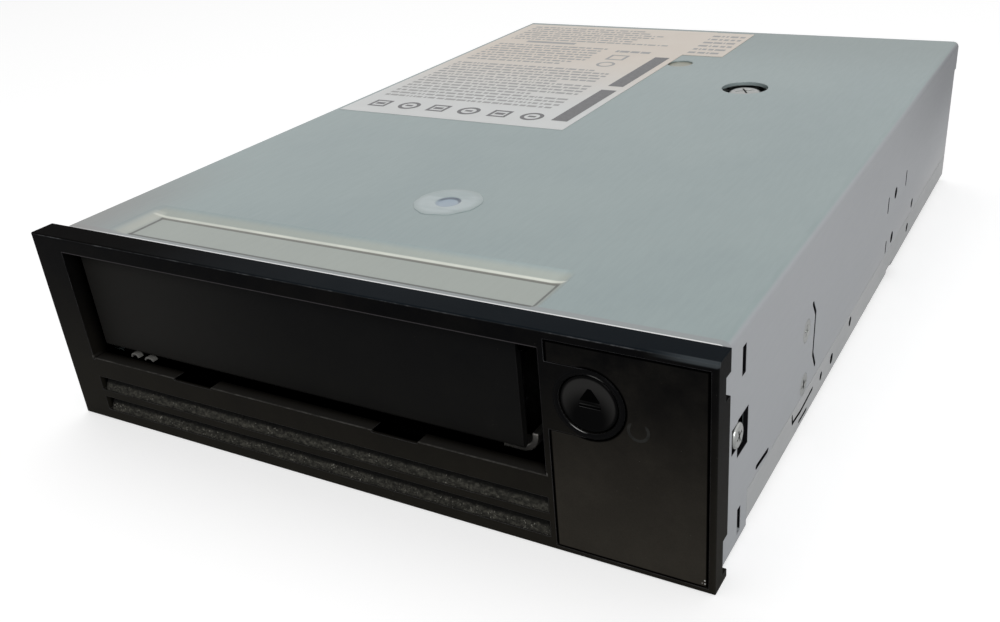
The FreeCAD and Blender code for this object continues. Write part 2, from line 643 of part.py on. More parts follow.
def control_panel():
    left, right, bottom, top = panel_edges(GAP)
    plate = box(left, right, 0, PANEL_THICK - 0.05, bottom, top)
    plate = rounded(plate, 0.8, lambda e: along(e, 1))
    return plate.cut(button_tab(GAP, -1, PANEL_THICK + 1))


def bezel():
    half = BEZEL_WIDTH / 2
    body = box(-half, half, 0, BEZEL_DEPTH, 0, BEZEL_HEIGHT)
    body = rounded(body, 0.5, lambda e: e.BoundBox.YMax < 0.01)
    left, right, bottom, top = panel_edges(0)
    recess = box(left, right, -1, PANEL_THICK, bottom, top)
    recess = recess.cut(button_tab(0, -2, PANEL_THICK + 1))
    opening = box(OPENING_LEFT, OPENING_RIGHT, -1, BEZEL_DEPTH + 1, OPENING_BOTTOM, OPENING_TOP)
    vents = [box(OPENING_LEFT, OPENING_RIGHT, -1, BEZEL_DEPTH + 1, z, z + VENT_HEIGHT) for z in VENT_BOTTOMS]
    hollow = box(PANEL_LEFT + 1.2, half - 1.6, FLANGE_BACK - 0.7, BEZEL_DEPTH + 1, 2.6, BEZEL_HEIGHT - 2.4)
    button_hole = rod_y(BUTTON_X, -1, BEZEL_DEPTH + 1, BUTTON_Z, BUTTON_R + GAP)
    notches = [box(x0, x1, 0.9, BEZEL_DEPTH + 1, OPENING_BOTTOM - 2.5, OPENING_BOTTOM + 1)
               for x0, x1 in SILL_NOTCHES]
    body = cut_all(body, [recess, opening, hollow, button_hole] + vents + notches)
    for x0, x1 in ((half - 3.0, half + 1), (-half - 1, -half + 3.0)):
        body = cut_all(body, [box(x0, x1, front, BEZEL_DEPTH + 1, low, high) for front, low, high in LATCH_NOTCHES])
    pads = [box(x0, x1, 0, 3.0, OPENING_BOTTOM - 0.1, OPENING_BOTTOM + PAD_RAISE) for x0, x1 in PAD_SPANS]
    left_ear = box(OPENING_LEFT - 1.6, OPENING_LEFT - GAP, BEZEL_DEPTH - 1.5, HINGE_Y + 2, HINGE_Z - 2.2, ROOF - 0.3)
    right_ear = box(EAR_X[0], EAR_X[1], HINGE_Y - 1.6, HINGE_Y + 2, HINGE_Z - 2.2, ROOF - 1.2)
    bearer = box(EAR_X[0], EAR_X[1], BEZEL_DEPTH - 1.5, HINGE_Y + 2, OPENING_TOP - 0.5, ROOF - 0.3)
    arm_x = HALF - TAB_DEPTH - SHEET - 0.1
    arm = box(arm_x - 2.2, arm_x, BEZEL_WALL, BEZEL_SCREW[0] + 3.5, TAB_Z[0] - 1, TAB_Z[1] + 1)
    body = fused([body, left_ear, right_ear, bearer, arm, mirrored(arm)] + pads)
    bores = [rod_x(OPENING_LEFT - 3, EAR_X[1] + 1, HINGE_Y, HINGE_Z, HINGE_PIN_R)]
    screw_bore = rod_x(arm_x - 3, arm_x + 1, BEZEL_SCREW[0], BEZEL_SCREW[1], THREAD_R)
    return cut_all(body, bores + [screw_bore, mirrored(screw_bore)])


def filter_foam(bottom):
    return box(OPENING_LEFT + 0.1, OPENING_RIGHT - 0.1, 2.2, BEZEL_DEPTH, bottom + 0.1, bottom + VENT_HEIGHT - 0.1)


def cartridge_door():
    left = OPENING_LEFT + 0.6
    plate = box(left, DOOR_RIGHT, DOOR_DEPTH, DOOR_DEPTH + DOOR_THICK, DOOR_BOTTOM, HINGE_Z)
    plate = rounded(plate, 0.7, lambda e: along(e, 0) and e.BoundBox.ZMax < DOOR_BOTTOM + 0.1)
    barrel = rod_x(left, DOOR_RIGHT, HINGE_Y, HINGE_Z, HINGE_BARREL_R)
    ribs = [box(x, x + 1.2, DOOR_DEPTH + 1, HINGE_Y + 0.6, DOOR_BOTTOM + 4, HINGE_Z - 1) for x in (-50, -14, 22)]
    return fused([plate, barrel] + ribs).cut(rod_x(left - 1, DOOR_RIGHT + 1, HINGE_Y, HINGE_Z,
                                                   HINGE_PIN_R + RUNNING))


def door_pins():
    """Two hinge pins; the right one also carries the closing spring."""
    left = rod_x(OPENING_LEFT - 1.5, OPENING_LEFT + 4.6, HINGE_Y, HINGE_Z, HINGE_PIN_R)
    right = rod_x(DOOR_RIGHT - 4.0, OPENING_RIGHT - 0.4, HINGE_Y, HINGE_Z, HINGE_PIN_R)
    return Part.makeCompound([left, right])


def door_spring():
    spring = coil(HINGE_PIN_R + 0.45, 0.2, OPENING_RIGHT - 0.8 - EAR_X[1], 5)
    return placed(spring, EAR_X[1] + 0.2, HINGE_Y, HINGE_Z, (1, 0, 0))


def eject_button():
    cap = rod_y(BUTTON_X, 0.05, FLANGE_BACK, BUTTON_Z, BUTTON_R)
    cap = rounded(cap, 0.4, lambda e: e.BoundBox.YMax < 0.1)
    flange = rod_y(BUTTON_X, FLANGE_BACK - 0.6, FLANGE_BACK, BUTTON_Z, BUTTON_R + 0.8)
    stem = rod_y(BUTTON_X, FLANGE_BACK - 1, STEM_END, BUTTON_Z, 1.4)
    return fused([cap, flange, stem])


def button_spring():
    spring = coil(4.6, 0.25, PANEL_BOARD_Y - FLANGE_BACK - 0.1, 3)
    return placed(spring, BUTTON_X, FLANGE_BACK + 0.05, BUTTON_Z, (0, 1, 0))


def panel_board():
    return box(PANEL_LEFT + 2, HALF - 4.3, PANEL_BOARD_Y, PANEL_BOARD_Y + 1.2, 12.0, 39.0)


def eject_switch():
    half = 3.0
    body = box(BUTTON_X - half, BUTTON_X + half, PANEL_BOARD_Y - 1.5, PANEL_BOARD_Y, BUTTON_Z - half, BUTTON_Z + half)
    plunger = rod_y(BUTTON_X, STEM_END + BUTTON_TRAVEL + 0.1, PANEL_BOARD_Y, BUTTON_Z, 1.4)
    return body.fuse(plunger)


def status_leds():
    """Four indicator lamps on the panel board, behind the dark panel."""
    size = 1.6
    lamps = []
    for n in range(4):
        x = PANEL_LEFT + 8.0 + 3.4 * n
        lamps.append(box(x, x + size, PANEL_BOARD_Y - 1.0, PANEL_BOARD_Y, 20.0, 20.0 + size))
    return Part.makeCompound(lamps)


def panel_ribbon():
    """Flat flex from the panel board down and under the deck to the main board."""
    thick = 0.3
    front = PANEL_BOARD_Y + 1.2
    under = BOARD_BOTTOM - thick
    left, right = RIBBON_X
    radius = 1.0
    down = box(left, right, front, front + thick, under + radius, 16.0)
    back = box(left, right, front + radius, BOARD_Y[0] + 6, under, BOARD_BOTTOM)
    bend = rod_x(left, right, front + radius, under + radius, radius)
    bend = bend.cut(rod_x(left - 1, right + 1, front + radius, under + radius, radius - thick))
    bend = bend.common(box(left - 1, right + 1, front - 1, front + radius, under - 1, under + radius))
    return fused([down, bend, back])


# ---------------------------------------------------------------- loader
def obround(y0, z0, y1, z1, radius, x0, x1):
    """Slot through a side plate from one pin place to another."""
    return side_slot([(y0, z0), (y1, z1)], 2 * radius, x0, x1)


def carriage():
    """Two side plates and a top bar that carry the tray rearwards."""
    x0 = BAY_CENTRE + CARRIAGE_IN
    front = 12.0
    wall = box(x0, x0 + PLATE, front, front + TRAY_LENGTH - 3, 11.0, 38.0)
    slots = []
    for y in PIN_PLACES:
        slots.append(obround(y, PIN_Z, y, PIN_Z - DROP, PIN_R + SLOT_GAP, x0 - 1, x0 + PLATE + 1))
    for y in STUD_PLACES:
        slots.append(obround(y, STUD_Z, y - LOAD_TRAVEL, STUD_Z, PIN_R + SLOT_GAP, x0 - 1, x0 + PLATE + 1))
    walls = bay_pair(cut_all(wall, slots))
    bar = box(BAY_CENTRE - CARRIAGE_IN - PLATE, x0 + PLATE, 64.0, 80.0, 38.0 - 0.1, 38.9)
    return fused(walls + [bar])


def cam_rack(x0, x1):
    """Toothed strip along the lower edge of a cam plate, with a gap over the sync shaft."""
    pitch = math.pi * MODULE
    tip = RACK_LINE - ADDENDUM * MODULE
    root = RACK_LINE + DEDENDUM * MODULE
    thick = pitch / 2 - BACKLASH / 2
    lean = math.tan(PRESSURE)
    teeth = []
    first = -int((CAM_TRAVEL + 3.5) / pitch)
    last = int(3.5 / pitch)
    for n in range(first, last):
        centre = SYNC_Y + (n + 0.5) * pitch
        low = thick / 2 - ADDENDUM * MODULE * lean
        high = thick / 2 + DEDENDUM * MODULE * lean
        corners = [(centre - low, tip), (centre + low, tip), (centre + high, root + 0.3), (centre - high, root + 0.3)]
        outline = Part.makePolygon([Vector(x0, y, z) for y, z in corners + corners[:1]])
        teeth.append(Part.Face(outline).extrude(Vector(x1 - x0, 0, 0)))
    return teeth, root


def cam_plate():
    """Right cam plate: slanted slots lower the tray while the plate runs rearwards."""
    x0 = BAY_CENTRE + CAM_IN
    x1 = x0 + PLATE
    teeth, root = cam_rack(x0, x1)
    plate = box(x0, x1, SYNC_Y - CAM_TRAVEL - 4.5, 93.0, root, STUD_Z + 3.5)
    slots = []
    reach = CAM_TRAVEL - LOAD_TRAVEL
    for y in PIN_PLACES:
        slots.append(obround(y, PIN_Z, y - reach, PIN_Z - DROP, PIN_R + SLOT_GAP, x0 - 1, x1 + 1))
    for y in STUD_PLACES:
        slots.append(obround(y, STUD_Z, y - CAM_TRAVEL, STUD_Z, PIN_R + SLOT_GAP, x0 - 1, x1 + 1))
    return cut_all(fused([plate] + teeth), slots)


def left_cam_plate():
    return bay_pair(cam_plate())[1]


def cartridge_tray():
    left = BAY_CENTRE - TRAY_HALF
    right = BAY_CENTRE + TRAY_HALF
    back = TRAY_FRONT + TRAY_LENGTH
    floor = box(left, right, TRAY_FRONT, back, TRAY_FLOOR, TRAY_FLOOR + PLATE)
    floor = rounded(floor, 4.0, lambda e: along(e, 2) and e.BoundBox.YMax < TRAY_FRONT + 0.1)
    walls = [box(left, left + TRAY_WALL, DOOR_SWEEP_END, back, TRAY_FLOOR, 36.6),
             box(right - TRAY_WALL, right, DOOR_SWEEP_END, back, TRAY_FLOOR, 36.6)]
    lips = [box(left, left + TRAY_WALL, TRAY_FRONT + 5, DOOR_SWEEP_END, TRAY_FLOOR, DOOR_BOTTOM - 1.2),
            box(right - TRAY_WALL, right, TRAY_FRONT + 5, DOOR_SWEEP_END, TRAY_FLOOR, DOOR_BOTTOM - 1.2)]
    hub_hole = post(BAY_CENTRE, SUPPLY_Y - LOAD_TRAVEL / 2, TRAY_FLOOR - 1, TRAY_FLOOR + 3, 24.0)
    return fused([floor] + walls + lips).cut(hub_hole)


DOOR_SWEEP_END = 29.5


def tray_pins():
    """Pins riveted in the tray's walls, through the carriage and cam slots."""
    pins = []
    for y in PIN_PLACES:
        pins += bay_pair(rod_x(BAY_CENTRE + TRAY_HALF, BAY_CENTRE + POST_IN - 0.3, y, PIN_Z, PIN_R))
    return Part.makeCompound(pins)


def sync_shaft():
    left = BAY_CENTRE - CAM_IN - PLATE / 2 - 0.7
    return rod_x(left, DRIVE_X + GEAR_WIDTH, SYNC_Y, SYNC_Z, SYNC_R)


def sync_gears():
    """Two rack pinions and the drive gear, pressed on the sync shaft."""
    wheels = []
    for x in (BAY_CENTRE - CAM_IN - PLATE / 2, BAY_CENTRE + CAM_IN + PLATE / 2):
        wheels.append(gear_x(RACK_PINION_TEETH, SYNC_PHASE, x - 0.7, x + 0.7, SYNC_Y, SYNC_Z))
    wheels.append(gear_x(DRIVE_TEETH, SYNC_PHASE, DRIVE_X, DRIVE_X + GEAR_WIDTH, SYNC_Y, SYNC_Z))
    bore = rod_x(-HALF, HALF, SYNC_Y, SYNC_Z, SYNC_R)
    return Part.makeCompound([wheel.cut(bore) for wheel in wheels])


def reduction_gear():
    small = gear_x(SMALL_TEETH, REDUCTION_PHASE, DRIVE_X, LARGE_X + 0.2, REDUCTION_Y, REDUCTION_Z)
    large = gear_x(LARGE_TEETH, REDUCTION_PHASE, LARGE_X, LARGE_X + GEAR_WIDTH, REDUCTION_Y, REDUCTION_Z)
    bore = rod_x(DRIVE_X - 2, WALL_X, REDUCTION_Y, REDUCTION_Z, 1.0 + RUNNING)
    return fused([small, large]).cut(bore)


def loader_pinion():
    wheel = gear_x(MOTOR_TEETH, MOTOR_PHASE, LARGE_X - 0.2, LARGE_X + GEAR_WIDTH + 0.2, MOTOR_Y, MOTOR_Z)
    return wheel.fuse(rod_x(LARGE_X + 2, WALL_X + WALL_THICK - 0.1, MOTOR_Y, MOTOR_Z, 1.0))


def loader_motor():
    face = WALL_X + WALL_THICK
    can = rod_x(face, RAIL_IN - 1.6, MOTOR_Y, MOTOR_Z, 6.2)
    can = rounded(can, 0.6, lambda e: e.BoundBox.XMin > RAIL_IN - 1.7)
    return can.fuse(rod_x(RAIL_IN - 1.7, RAIL_IN - 0.6, MOTOR_Y, MOTOR_Z, 2.0))


# ---------------------------------------------------------------- reel motors
BASE_R = 27.0
BASE_Z = 2.0
SHAFT_R = 1.5
ROTOR_TOP = 9.0


def motor_stator(x, y):
    """Base plate with a bearing sleeve and a nine-pole core with its windings."""
    base = post(x, y, BASE_Z, BASE_Z + 0.9, BASE_R)
    legs = [post(*polar(x, y, BASE_R - 1.5, 90 + 120 * n), FLOOR_TOP, BASE_Z + 0.1, 1.4) for n in range(3)]
    sleeve = ring(x, y, BASE_Z + 0.5, 7.4, 4.0, SHAFT_R + RUNNING)
    core = ring(x, y, 4.2, 6.6, 9.0, 3.8)
    poles = []
    for n in range(9):
        arm = box(8.0, 20.5, -1.4, 1.4, 4.4, 6.4)
        winding = box(10.5, 18.5, -2.6, 2.6, 3.8, 7.0)
        for piece in (arm, winding):
            piece.rotate(Vector(0, 0, 0), Vector(0, 0, 1), 40 * n)
            piece.translate(Vector(x, y, 0))
            poles.append(piece)
    solid = fused([base, sleeve, core] + legs + poles)
    return solid.cut(post(x, y, BASE_Z + 0.4, 9, SHAFT_R + RUNNING))


def motor_rotor(x, y, shaft_top):
    """Steel cup with its magnet ring, on the shaft."""
    cup = post(x, y, 4.0, ROTOR_TOP, ROTOR_R).cut(post(x, y, 3.0, ROTOR_TOP - 1.0, ROTOR_R - 3.0))
    shaft = post(x, y, BASE_Z + 0.6, shaft_top, SHAFT_R)
    return fused([cup, shaft])


def supply_clutch():
    """Toothed ring that drives the cartridge's reel from below."""
    disc = ring(BAY_CENTRE, SUPPLY_Y, ROTOR_TOP, ROTOR_TOP + 2.0, 15.5, SHAFT_R)
    teeth = []
    for n in range(30):
        tooth = box(11.5, 15.2, -0.5, 0.5, ROTOR_TOP + 1.9, ROTOR_TOP + 3.0)
        tooth.rotate(Vector(0, 0, 0), Vector(0, 0, 1), 12 * n)
        tooth.translate(Vector(BAY_CENTRE, SUPPLY_Y, 0))
        teeth.append(tooth)
    return fused([disc] + teeth)


def arc_slot(radius, width, z0, z1, start, end):
    """Ring sector about the threader pivot."""
    sweep = end - start
    outer = Part.makeCylinder(radius + width / 2, z1 - z0, Vector(0, 0, z0), Vector(0, 0, 1), sweep)
    inner = Part.makeCylinder(radius - width / 2, z1 - z0 + 2, Vector(0, 0, z0 - 1))
    sector = outer.cut(inner)
    sector.rotate(Vector(0, 0, 0), Vector(0, 0, 1), start)
    sector.translate(Vector(PIVOT_X, PIVOT_Y, 0))
    return sector


ARM_END = ARM_START + ARM_SWEEP
HUB_FLOOR = TAPE_BOTTOM - 0.6
REEL_TOP = TAPE_TOP + 0.85


def takeup_reel():
    x, y = TAKEUP_X, TAKEUP_Y
    boss = post(x, y, ROTOR_TOP, HUB_FLOOR, 12.0)
    lower = post(x, y, HUB_FLOOR - FLANGE, HUB_FLOOR, TAKEUP_R)
    hub = post(x, y, HUB_FLOOR, REEL_TOP, HUB_R)
    upper = post(x, y, REEL_TOP, REEL_TOP + FLANGE, TAKEUP_R)
    well = post(x, y, HUB_FLOOR, REEL_TOP, math.hypot(BLOCK_WIDTH, BLOCK_LENGTH) / 2 + 0.5)
    throat = arc_slot(ARM_R, BLOCK_WIDTH + 1.2, HUB_FLOOR, REEL_TOP, 100.0, ARM_END)
    pin_slot = arc_slot(ARM_R, 4.4, REEL_TOP - 0.5, REEL_TOP + FLANGE + 1, 100.0, ARM_END)
    centre = post(x, y, REEL_TOP - 0.5, REEL_TOP + FLANGE + 1, 2.6)
    windows = []
    for turn in (210.0, 300.0):
        wx, wy = polar(x, y, 29.0, turn)
        windows.append(post(wx, wy, REEL_TOP - 0.3, REEL_TOP + FLANGE + 1, 6.0))
    reel = fused([boss, lower, hub, upper])
    return cut_all(reel, [well, throat, pin_slot, centre, post(x, y, 0, HUB_FLOOR + 1, SHAFT_R)] + windows)


# ---------------------------------------------------------------- threader
def threader_post():
    shaft = post(PIVOT_X, PIVOT_Y, DECK_TOP, BRIDGE_BOTTOM, PIVOT_R)
    collar = post(PIVOT_X, PIVOT_Y, ARM_BOTTOM - 1.0, ARM_BOTTOM - 0.1, PIVOT_R + 1.8)
    foot = post(PIVOT_X, PIVOT_Y, DECK_TOP, DECK_TOP + 2, PIVOT_R + 2.0)
    spigot = post(PIVOT_X, PIVOT_Y, BRIDGE_BOTTOM, BRIDGE_BOTTOM + BRIDGE_THICK, 1.8)
    return fused([shaft, collar, foot, spigot])


def threader_bridge():
    places = [(ACCESS_X, ACCESS_Y), (PIVOT_X, PIVOT_Y), BRIDGE_POST]
    plate = link(places, 9.0, BRIDGE_BOTTOM, BRIDGE_BOTTOM + BRIDGE_THICK)
    holes = [post(PIVOT_X, PIVOT_Y, BRIDGE_BOTTOM - 1, BRIDGE_BOTTOM + 3, 1.8),
             post(ACCESS_X, ACCESS_Y, BRIDGE_BOTTOM - 1, BRIDGE_BOTTOM + 3, THREAD_R)]
    return cut_all(plate, holes)


def threader_arm():
    top = ARM_BOTTOM + ARM_THICK
    tip = polar(PIVOT_X, PIVOT_Y, ARM_R, ARM_START)
    wheel = gear(ARM_TEETH, 0.0, ARM_BOTTOM, top)
    wheel.translate(Vector(PIVOT_X, PIVOT_Y, 0))
    arm = link([(PIVOT_X, PIVOT_Y), tip], 7.0, ARM_BOTTOM, top)
    pin = post(*tip, TAPE_BOTTOM + 4, ARM_BOTTOM + 0.5, PIN_R)
    return fused([wheel, arm, pin]).cut(post(PIVOT_X, PIVOT_Y, 0, 50, PIVOT_R + RUNNING))


def leader_block():
    """Block that hooks the cartridge's leader pin and becomes part of the reel hub."""
    half_w = BLOCK_WIDTH / 2
    half_l = BLOCK_LENGTH / 2
    block = box(-half_w, half_w, -half_l, half_l, TAPE_BOTTOM - 0.1, TAPE_TOP + 0.2)
    block = rounded(block, 1.5, lambda e: along(e, 2))
    hook = box(half_w - 2.4, half_w + 1, -half_l + 1.6, -half_l + 4.2, TAPE_BOTTOM - 1, TAPE_TOP + 1)
    block = cut_all(block, [hook, post(0, 0, TAPE_BOTTOM + 4, TAPE_TOP + 1, PIN_R)])
    block.rotate(Vector(0, 0, 0), Vector(0, 0, 1), ARM_START)
    tip = polar(PIVOT_X, PIVOT_Y, ARM_R, ARM_START)
    block.translate(Vector(tip[0], tip[1], 0))
    return block


def threader_pinion():
    wheel = gear(THREAD_PINION_TEETH, THREAD_PHASE, ARM_BOTTOM + 0.1, ARM_BOTTOM + ARM_THICK - 0.1)
    wheel.translate(Vector(THREAD_MOTOR[0], THREAD_MOTOR[1], 0))
    return wheel.fuse(post(*THREAD_MOTOR, ARM_BOTTOM - 1.6, ARM_BOTTOM + 1, 1.0))


def threader_motor():
    can = post(*THREAD_MOTOR, DECK_TOP, ARM_BOTTOM - 3.0, 6.0)
    can = rounded(can, 0.6, lambda e: e.BoundBox.ZMin > ARM_BOTTOM - 3.1)
    return can.fuse(post(*THREAD_MOTOR, ARM_BOTTOM - 3.1, ARM_BOTTOM - 1.9, 2.2))


# ---------------------------------------------------------------- tape guides and head
ROLLER_BOTTOM = TAPE_BOTTOM - 2.0
ROLLER_TOP = TAPE_TOP + 2.0


def roller_centre(number):
    return polar(PIVOT_X, PIVOT_Y, ROLLER_RING, ROLLER_ANGLES[number])


def roller_posts():
    posts = []
    for number in range(len(ROLLER_ANGLES)):
        x, y = roller_centre(number)
        pin = fused([post(x, y, DECK_TOP, ROLLER_TOP + 1.4, ROLLER_POST_R),
                     post(x, y, DECK_TOP, ROLLER_BOTTOM - 0.3, 3.0),
                     post(x, y, ROLLER_TOP + 0.3, ROLLER_TOP + 1.2, 2.2)])
        posts.append(pin)
    return Part.makeCompound(posts)


def guide_roller(number):
    x, y = roller_centre(number)
    barrel = post(x, y, ROLLER_BOTTOM, ROLLER_TOP, ROLLER_R)
    flanges = [post(x, y, ROLLER_BOTTOM, ROLLER_BOTTOM + 1.0, ROLLER_R + 1.0),
               post(x, y, ROLLER_TOP - 1.0, ROLLER_TOP, ROLLER_R + 1.0)]
    return fused([barrel] + flanges).cut(post(x, y, 0, 50, ROLLER_POST_R + RUNNING))


HEAD_BACK = 24.0
HEAD_SPLIT = 48.0
HEAD_FRONT = 54.3
HEAD_HALF = 6.3
BRACKET_PLATE = 1.5
CARRIAGE_RISE = 4.0       # half the height of the head carriage
HEAD_MID = (TAPE_BOTTOM + TAPE_TOP) / 2
BRACKET_TOP = HEAD_MID + CARRIAGE_RISE + HEAD_TRAVEL + 1.0 + BRACKET_PLATE


def head_bracket():
    y0 = PIVOT_Y - HEAD_HALF - 2
    y1 = PIVOT_Y + HEAD_HALF + 2
    base = box(HEAD_BACK + 2, HEAD_SPLIT - 2, y0, y1, DECK_TOP, DECK_TOP + BRACKET_PLATE)
    roof = box(HEAD_BACK + 2, HEAD_SPLIT - 2, y0, y1, BRACKET_TOP - BRACKET_PLATE, BRACKET_TOP)
    back = box(HEAD_BACK + 2, HEAD_BACK + 3.5, y0, y1, DECK_TOP, BRACKET_TOP)
    return cut_all(fused([base, roof, back]), [post(SCREW_X, PIVOT_Y, 0, 50, 1.0 + RUNNING)])


def rod_places():
    return [(ROD_X, PIVOT_Y - ROD_OFFSET), (ROD_X, PIVOT_Y + ROD_OFFSET)]


def head_guide_rods():
    return Part.makeCompound([post(x, y, DECK_TOP + BRACKET_PLATE, BRACKET_TOP - BRACKET_PLATE, 1.0)
                              for x, y in rod_places()])


def head_carriage():
    block = box(ROD_X - 4, HEAD_SPLIT, PIVOT_Y - HEAD_HALF, PIVOT_Y + HEAD_HALF,
                HEAD_MID - CARRIAGE_RISE, HEAD_MID + CARRIAGE_RISE)
    bores = [post(x, y, 0, 50, 1.0 + RUNNING) for x, y in rod_places()]
    return cut_all(block, bores + [post(SCREW_X, PIVOT_Y, 0, 50, 1.0 + RUNNING)])


def head_block():
    body = box(HEAD_SPLIT, HEAD_FRONT - 1.0, PIVOT_Y - HEAD_HALF, PIVOT_Y + HEAD_HALF, HEAD_MID - 7, HEAD_MID + 7)
    bars = [box(HEAD_FRONT - 1.2, HEAD_FRONT, PIVOT_Y + dy, PIVOT_Y + dy + 2.4, HEAD_MID - 7, HEAD_MID + 7)
            for dy in (-3.6, 1.2)]
    return fused([body] + bars)


def head_stepper():
    can = post(SCREW_X, PIVOT_Y, 2.0, DECK_BOTTOM - 0.4, 6.0)
    return can.fuse(post(SCREW_X, PIVOT_Y, FLOOR_TOP, 2.1, 2.0))


def lead_screw():
    """Screw that lifts the head carriage; its thread is left plain."""
    return post(SCREW_X, PIVOT_Y, DECK_BOTTOM - 0.3, BRACKET_TOP - 0.3, 1.0)


# ---------------------------------------------------------------- electronics
BOARD_X = HALF - 7.5
BOARD_Y = (46.0, WALL_BACK - 8.5)


def main_board():
    board = box(-BOARD_X, BOARD_X, BOARD_Y[0], BOARD_Y[1], BOARD_BOTTOM, BOARD_TOP)
    holes = [post(BAY_CENTRE, SUPPLY_Y, 0, 9, ROTOR_R + 2),
             post(TAKEUP_X, TAKEUP_Y, 0, 9, ROTOR_R + 2),
             post(SCREW_X, PIVOT_Y, 0, 9, 7.0)]
    holes += [post(x, y, 0, 9, 0.9) for x, y in BOARD_SCREWS]
    for x in (-FOOT_X, FOOT_X):
        holes += [post(x, y, 0, 9, FOOT_R + 0.4) for y in FOOT_YS]
    return cut_all(board, holes)


def board_chips():
    """Controller, memory and motor drivers on the board, below the deck."""
    top = BOARD_TOP + 1.2
    places = [(30.0, 96.0, 24.0, 24.0), (36.0, 124.0, 12.0, 8.0), (52.0, 124.0, 12.0, 8.0),
              (-52.0, 106.0, 10.0, 10.0), (-34.0, 106.0, 10.0, 10.0), (30.0, 180.0, 14.0, 10.0)]
    return Part.makeCompound([box(x, x + w, y, y + d, BOARD_TOP, top) for x, y, w, d in places])


def connector(span, shroud):
    """Board-edge connector with an open mouth and a tongue in it."""
    left, right = span
    body = box(left, right, WALL_BACK - 12.0, WALL_BACK - 0.3, BOARD_TOP, CONNECTOR_TOP)
    floor = WALL_BACK - 7.5
    mouth = box(left + shroud, right - shroud, floor, WALL_BACK + 1, BOARD_TOP + 1.2, CONNECTOR_TOP - 1.2)
    tongue = box(left + shroud + 1.5, right - shroud - 1.5, floor - 0.5, WALL_BACK - 1.5, BOARD_TOP + 2.8,
                 BOARD_TOP + 4.2)
    return fused([body.cut(mouth), tongue])


# ---------------------------------------------------------------- screws and stickers
def pan_head_screws():
    """Screws of the bezel and the threader bridge."""
    side = pan_screw(2.3, THREAD_R, 3.6, 1.1)
    bridge = pan_screw(BRIDGE_SCREW_R, THREAD_R, BRIDGE_THICK, 3.4)
    x = HALF - TAB_DEPTH
    screws = [placed(side, x, BEZEL_SCREW[0], BEZEL_SCREW[1], (1, 0, 0), 20),
              placed(side, -x, BEZEL_SCREW[0], BEZEL_SCREW[1], (-1, 0, 0), 50),
              placed(bridge, ACCESS_X, ACCESS_Y, BRIDGE_BOTTOM + BRIDGE_THICK, (0, 0, 1), 30)]
    return Part.makeCompound(screws)


def flat_screw():
    """Flush cross-recess screw along +Z with its face at z = 0."""
    head = post(0, 0, -SIDE_SCREW_HEAD, 0, SIDE_SCREW_HEAD_R)
    shank = post(0, 0, -3.4, 0, THREAD_R)
    cross = fused([box(-1.3, 1.3, -0.26, 0.26, -0.45, 1), box(-0.26, 0.26, -1.3, 1.3, -0.45, 1)])
    return head.fuse(shank).removeSplitter().cut(cross)


def flat_head_screws():
    screw = flat_screw()
    screws = [placed(screw, HALF, MOUNT_YS[0], z, (1, 0, 0), 15 + 50 * n) for n, z in enumerate(MOUNT_ZS)]
    for x in (-FOOT_X, FOOT_X):
        screws += [placed(screw, x, y, BODY_BOTTOM, (0, 0, -1), 20 + y) for y in FOOT_YS]
    screws += [placed(screw, x, LENGTH, REAR_SCREW_Z, (0, 1, 0), 40 + x) for x in REAR_SCREWS]
    return Part.makeCompound(screws)


def board_screws():
    screw = pan_screw(1.7, 0.8, BOARD_THICK + 1.4, 0.8)
    return Part.makeCompound([placed(screw, x, y, BOARD_TOP, (0, 0, 1), 25) for x, y in BOARD_SCREWS])


def spec_label():
    """Bare L-shaped sticker on the rear left of the roof."""
    main = box(2.5 - HALF, -1.5, LENGTH - 113.0, LENGTH - 2.5, BODY_TOP, BODY_TOP + STICKER)
    wing = box(-2.0, 11.2, LENGTH - 33.5, LENGTH - 3.0, BODY_TOP, BODY_TOP + STICKER)
    return main.fuse(wing).removeSplitter()


def hole_seal():
    """Clear sticker over the roof's small hole, dished into it, and the film set into the hole by the label."""
    disc = post(SEAL_X, SEAL_Y, BODY_TOP, BODY_TOP + STICKER, SEAL_R)
    dish = post(SEAL_X, SEAL_Y, BODY_TOP - 0.4, BODY_TOP + STICKER, SEAL_HOLE_R - 0.1)
    hollow = post(SEAL_X, SEAL_Y, BODY_TOP - 0.28, BODY_TOP + 1, SEAL_HOLE_R - 0.22)
    film = post(LABEL_HOLE[0], LABEL_HOLE[1], BODY_TOP - 0.5, BODY_TOP - 0.3, LABEL_HOLE_R)
    return Part.makeCompound([fused([disc, dish]).cut(hollow), film])


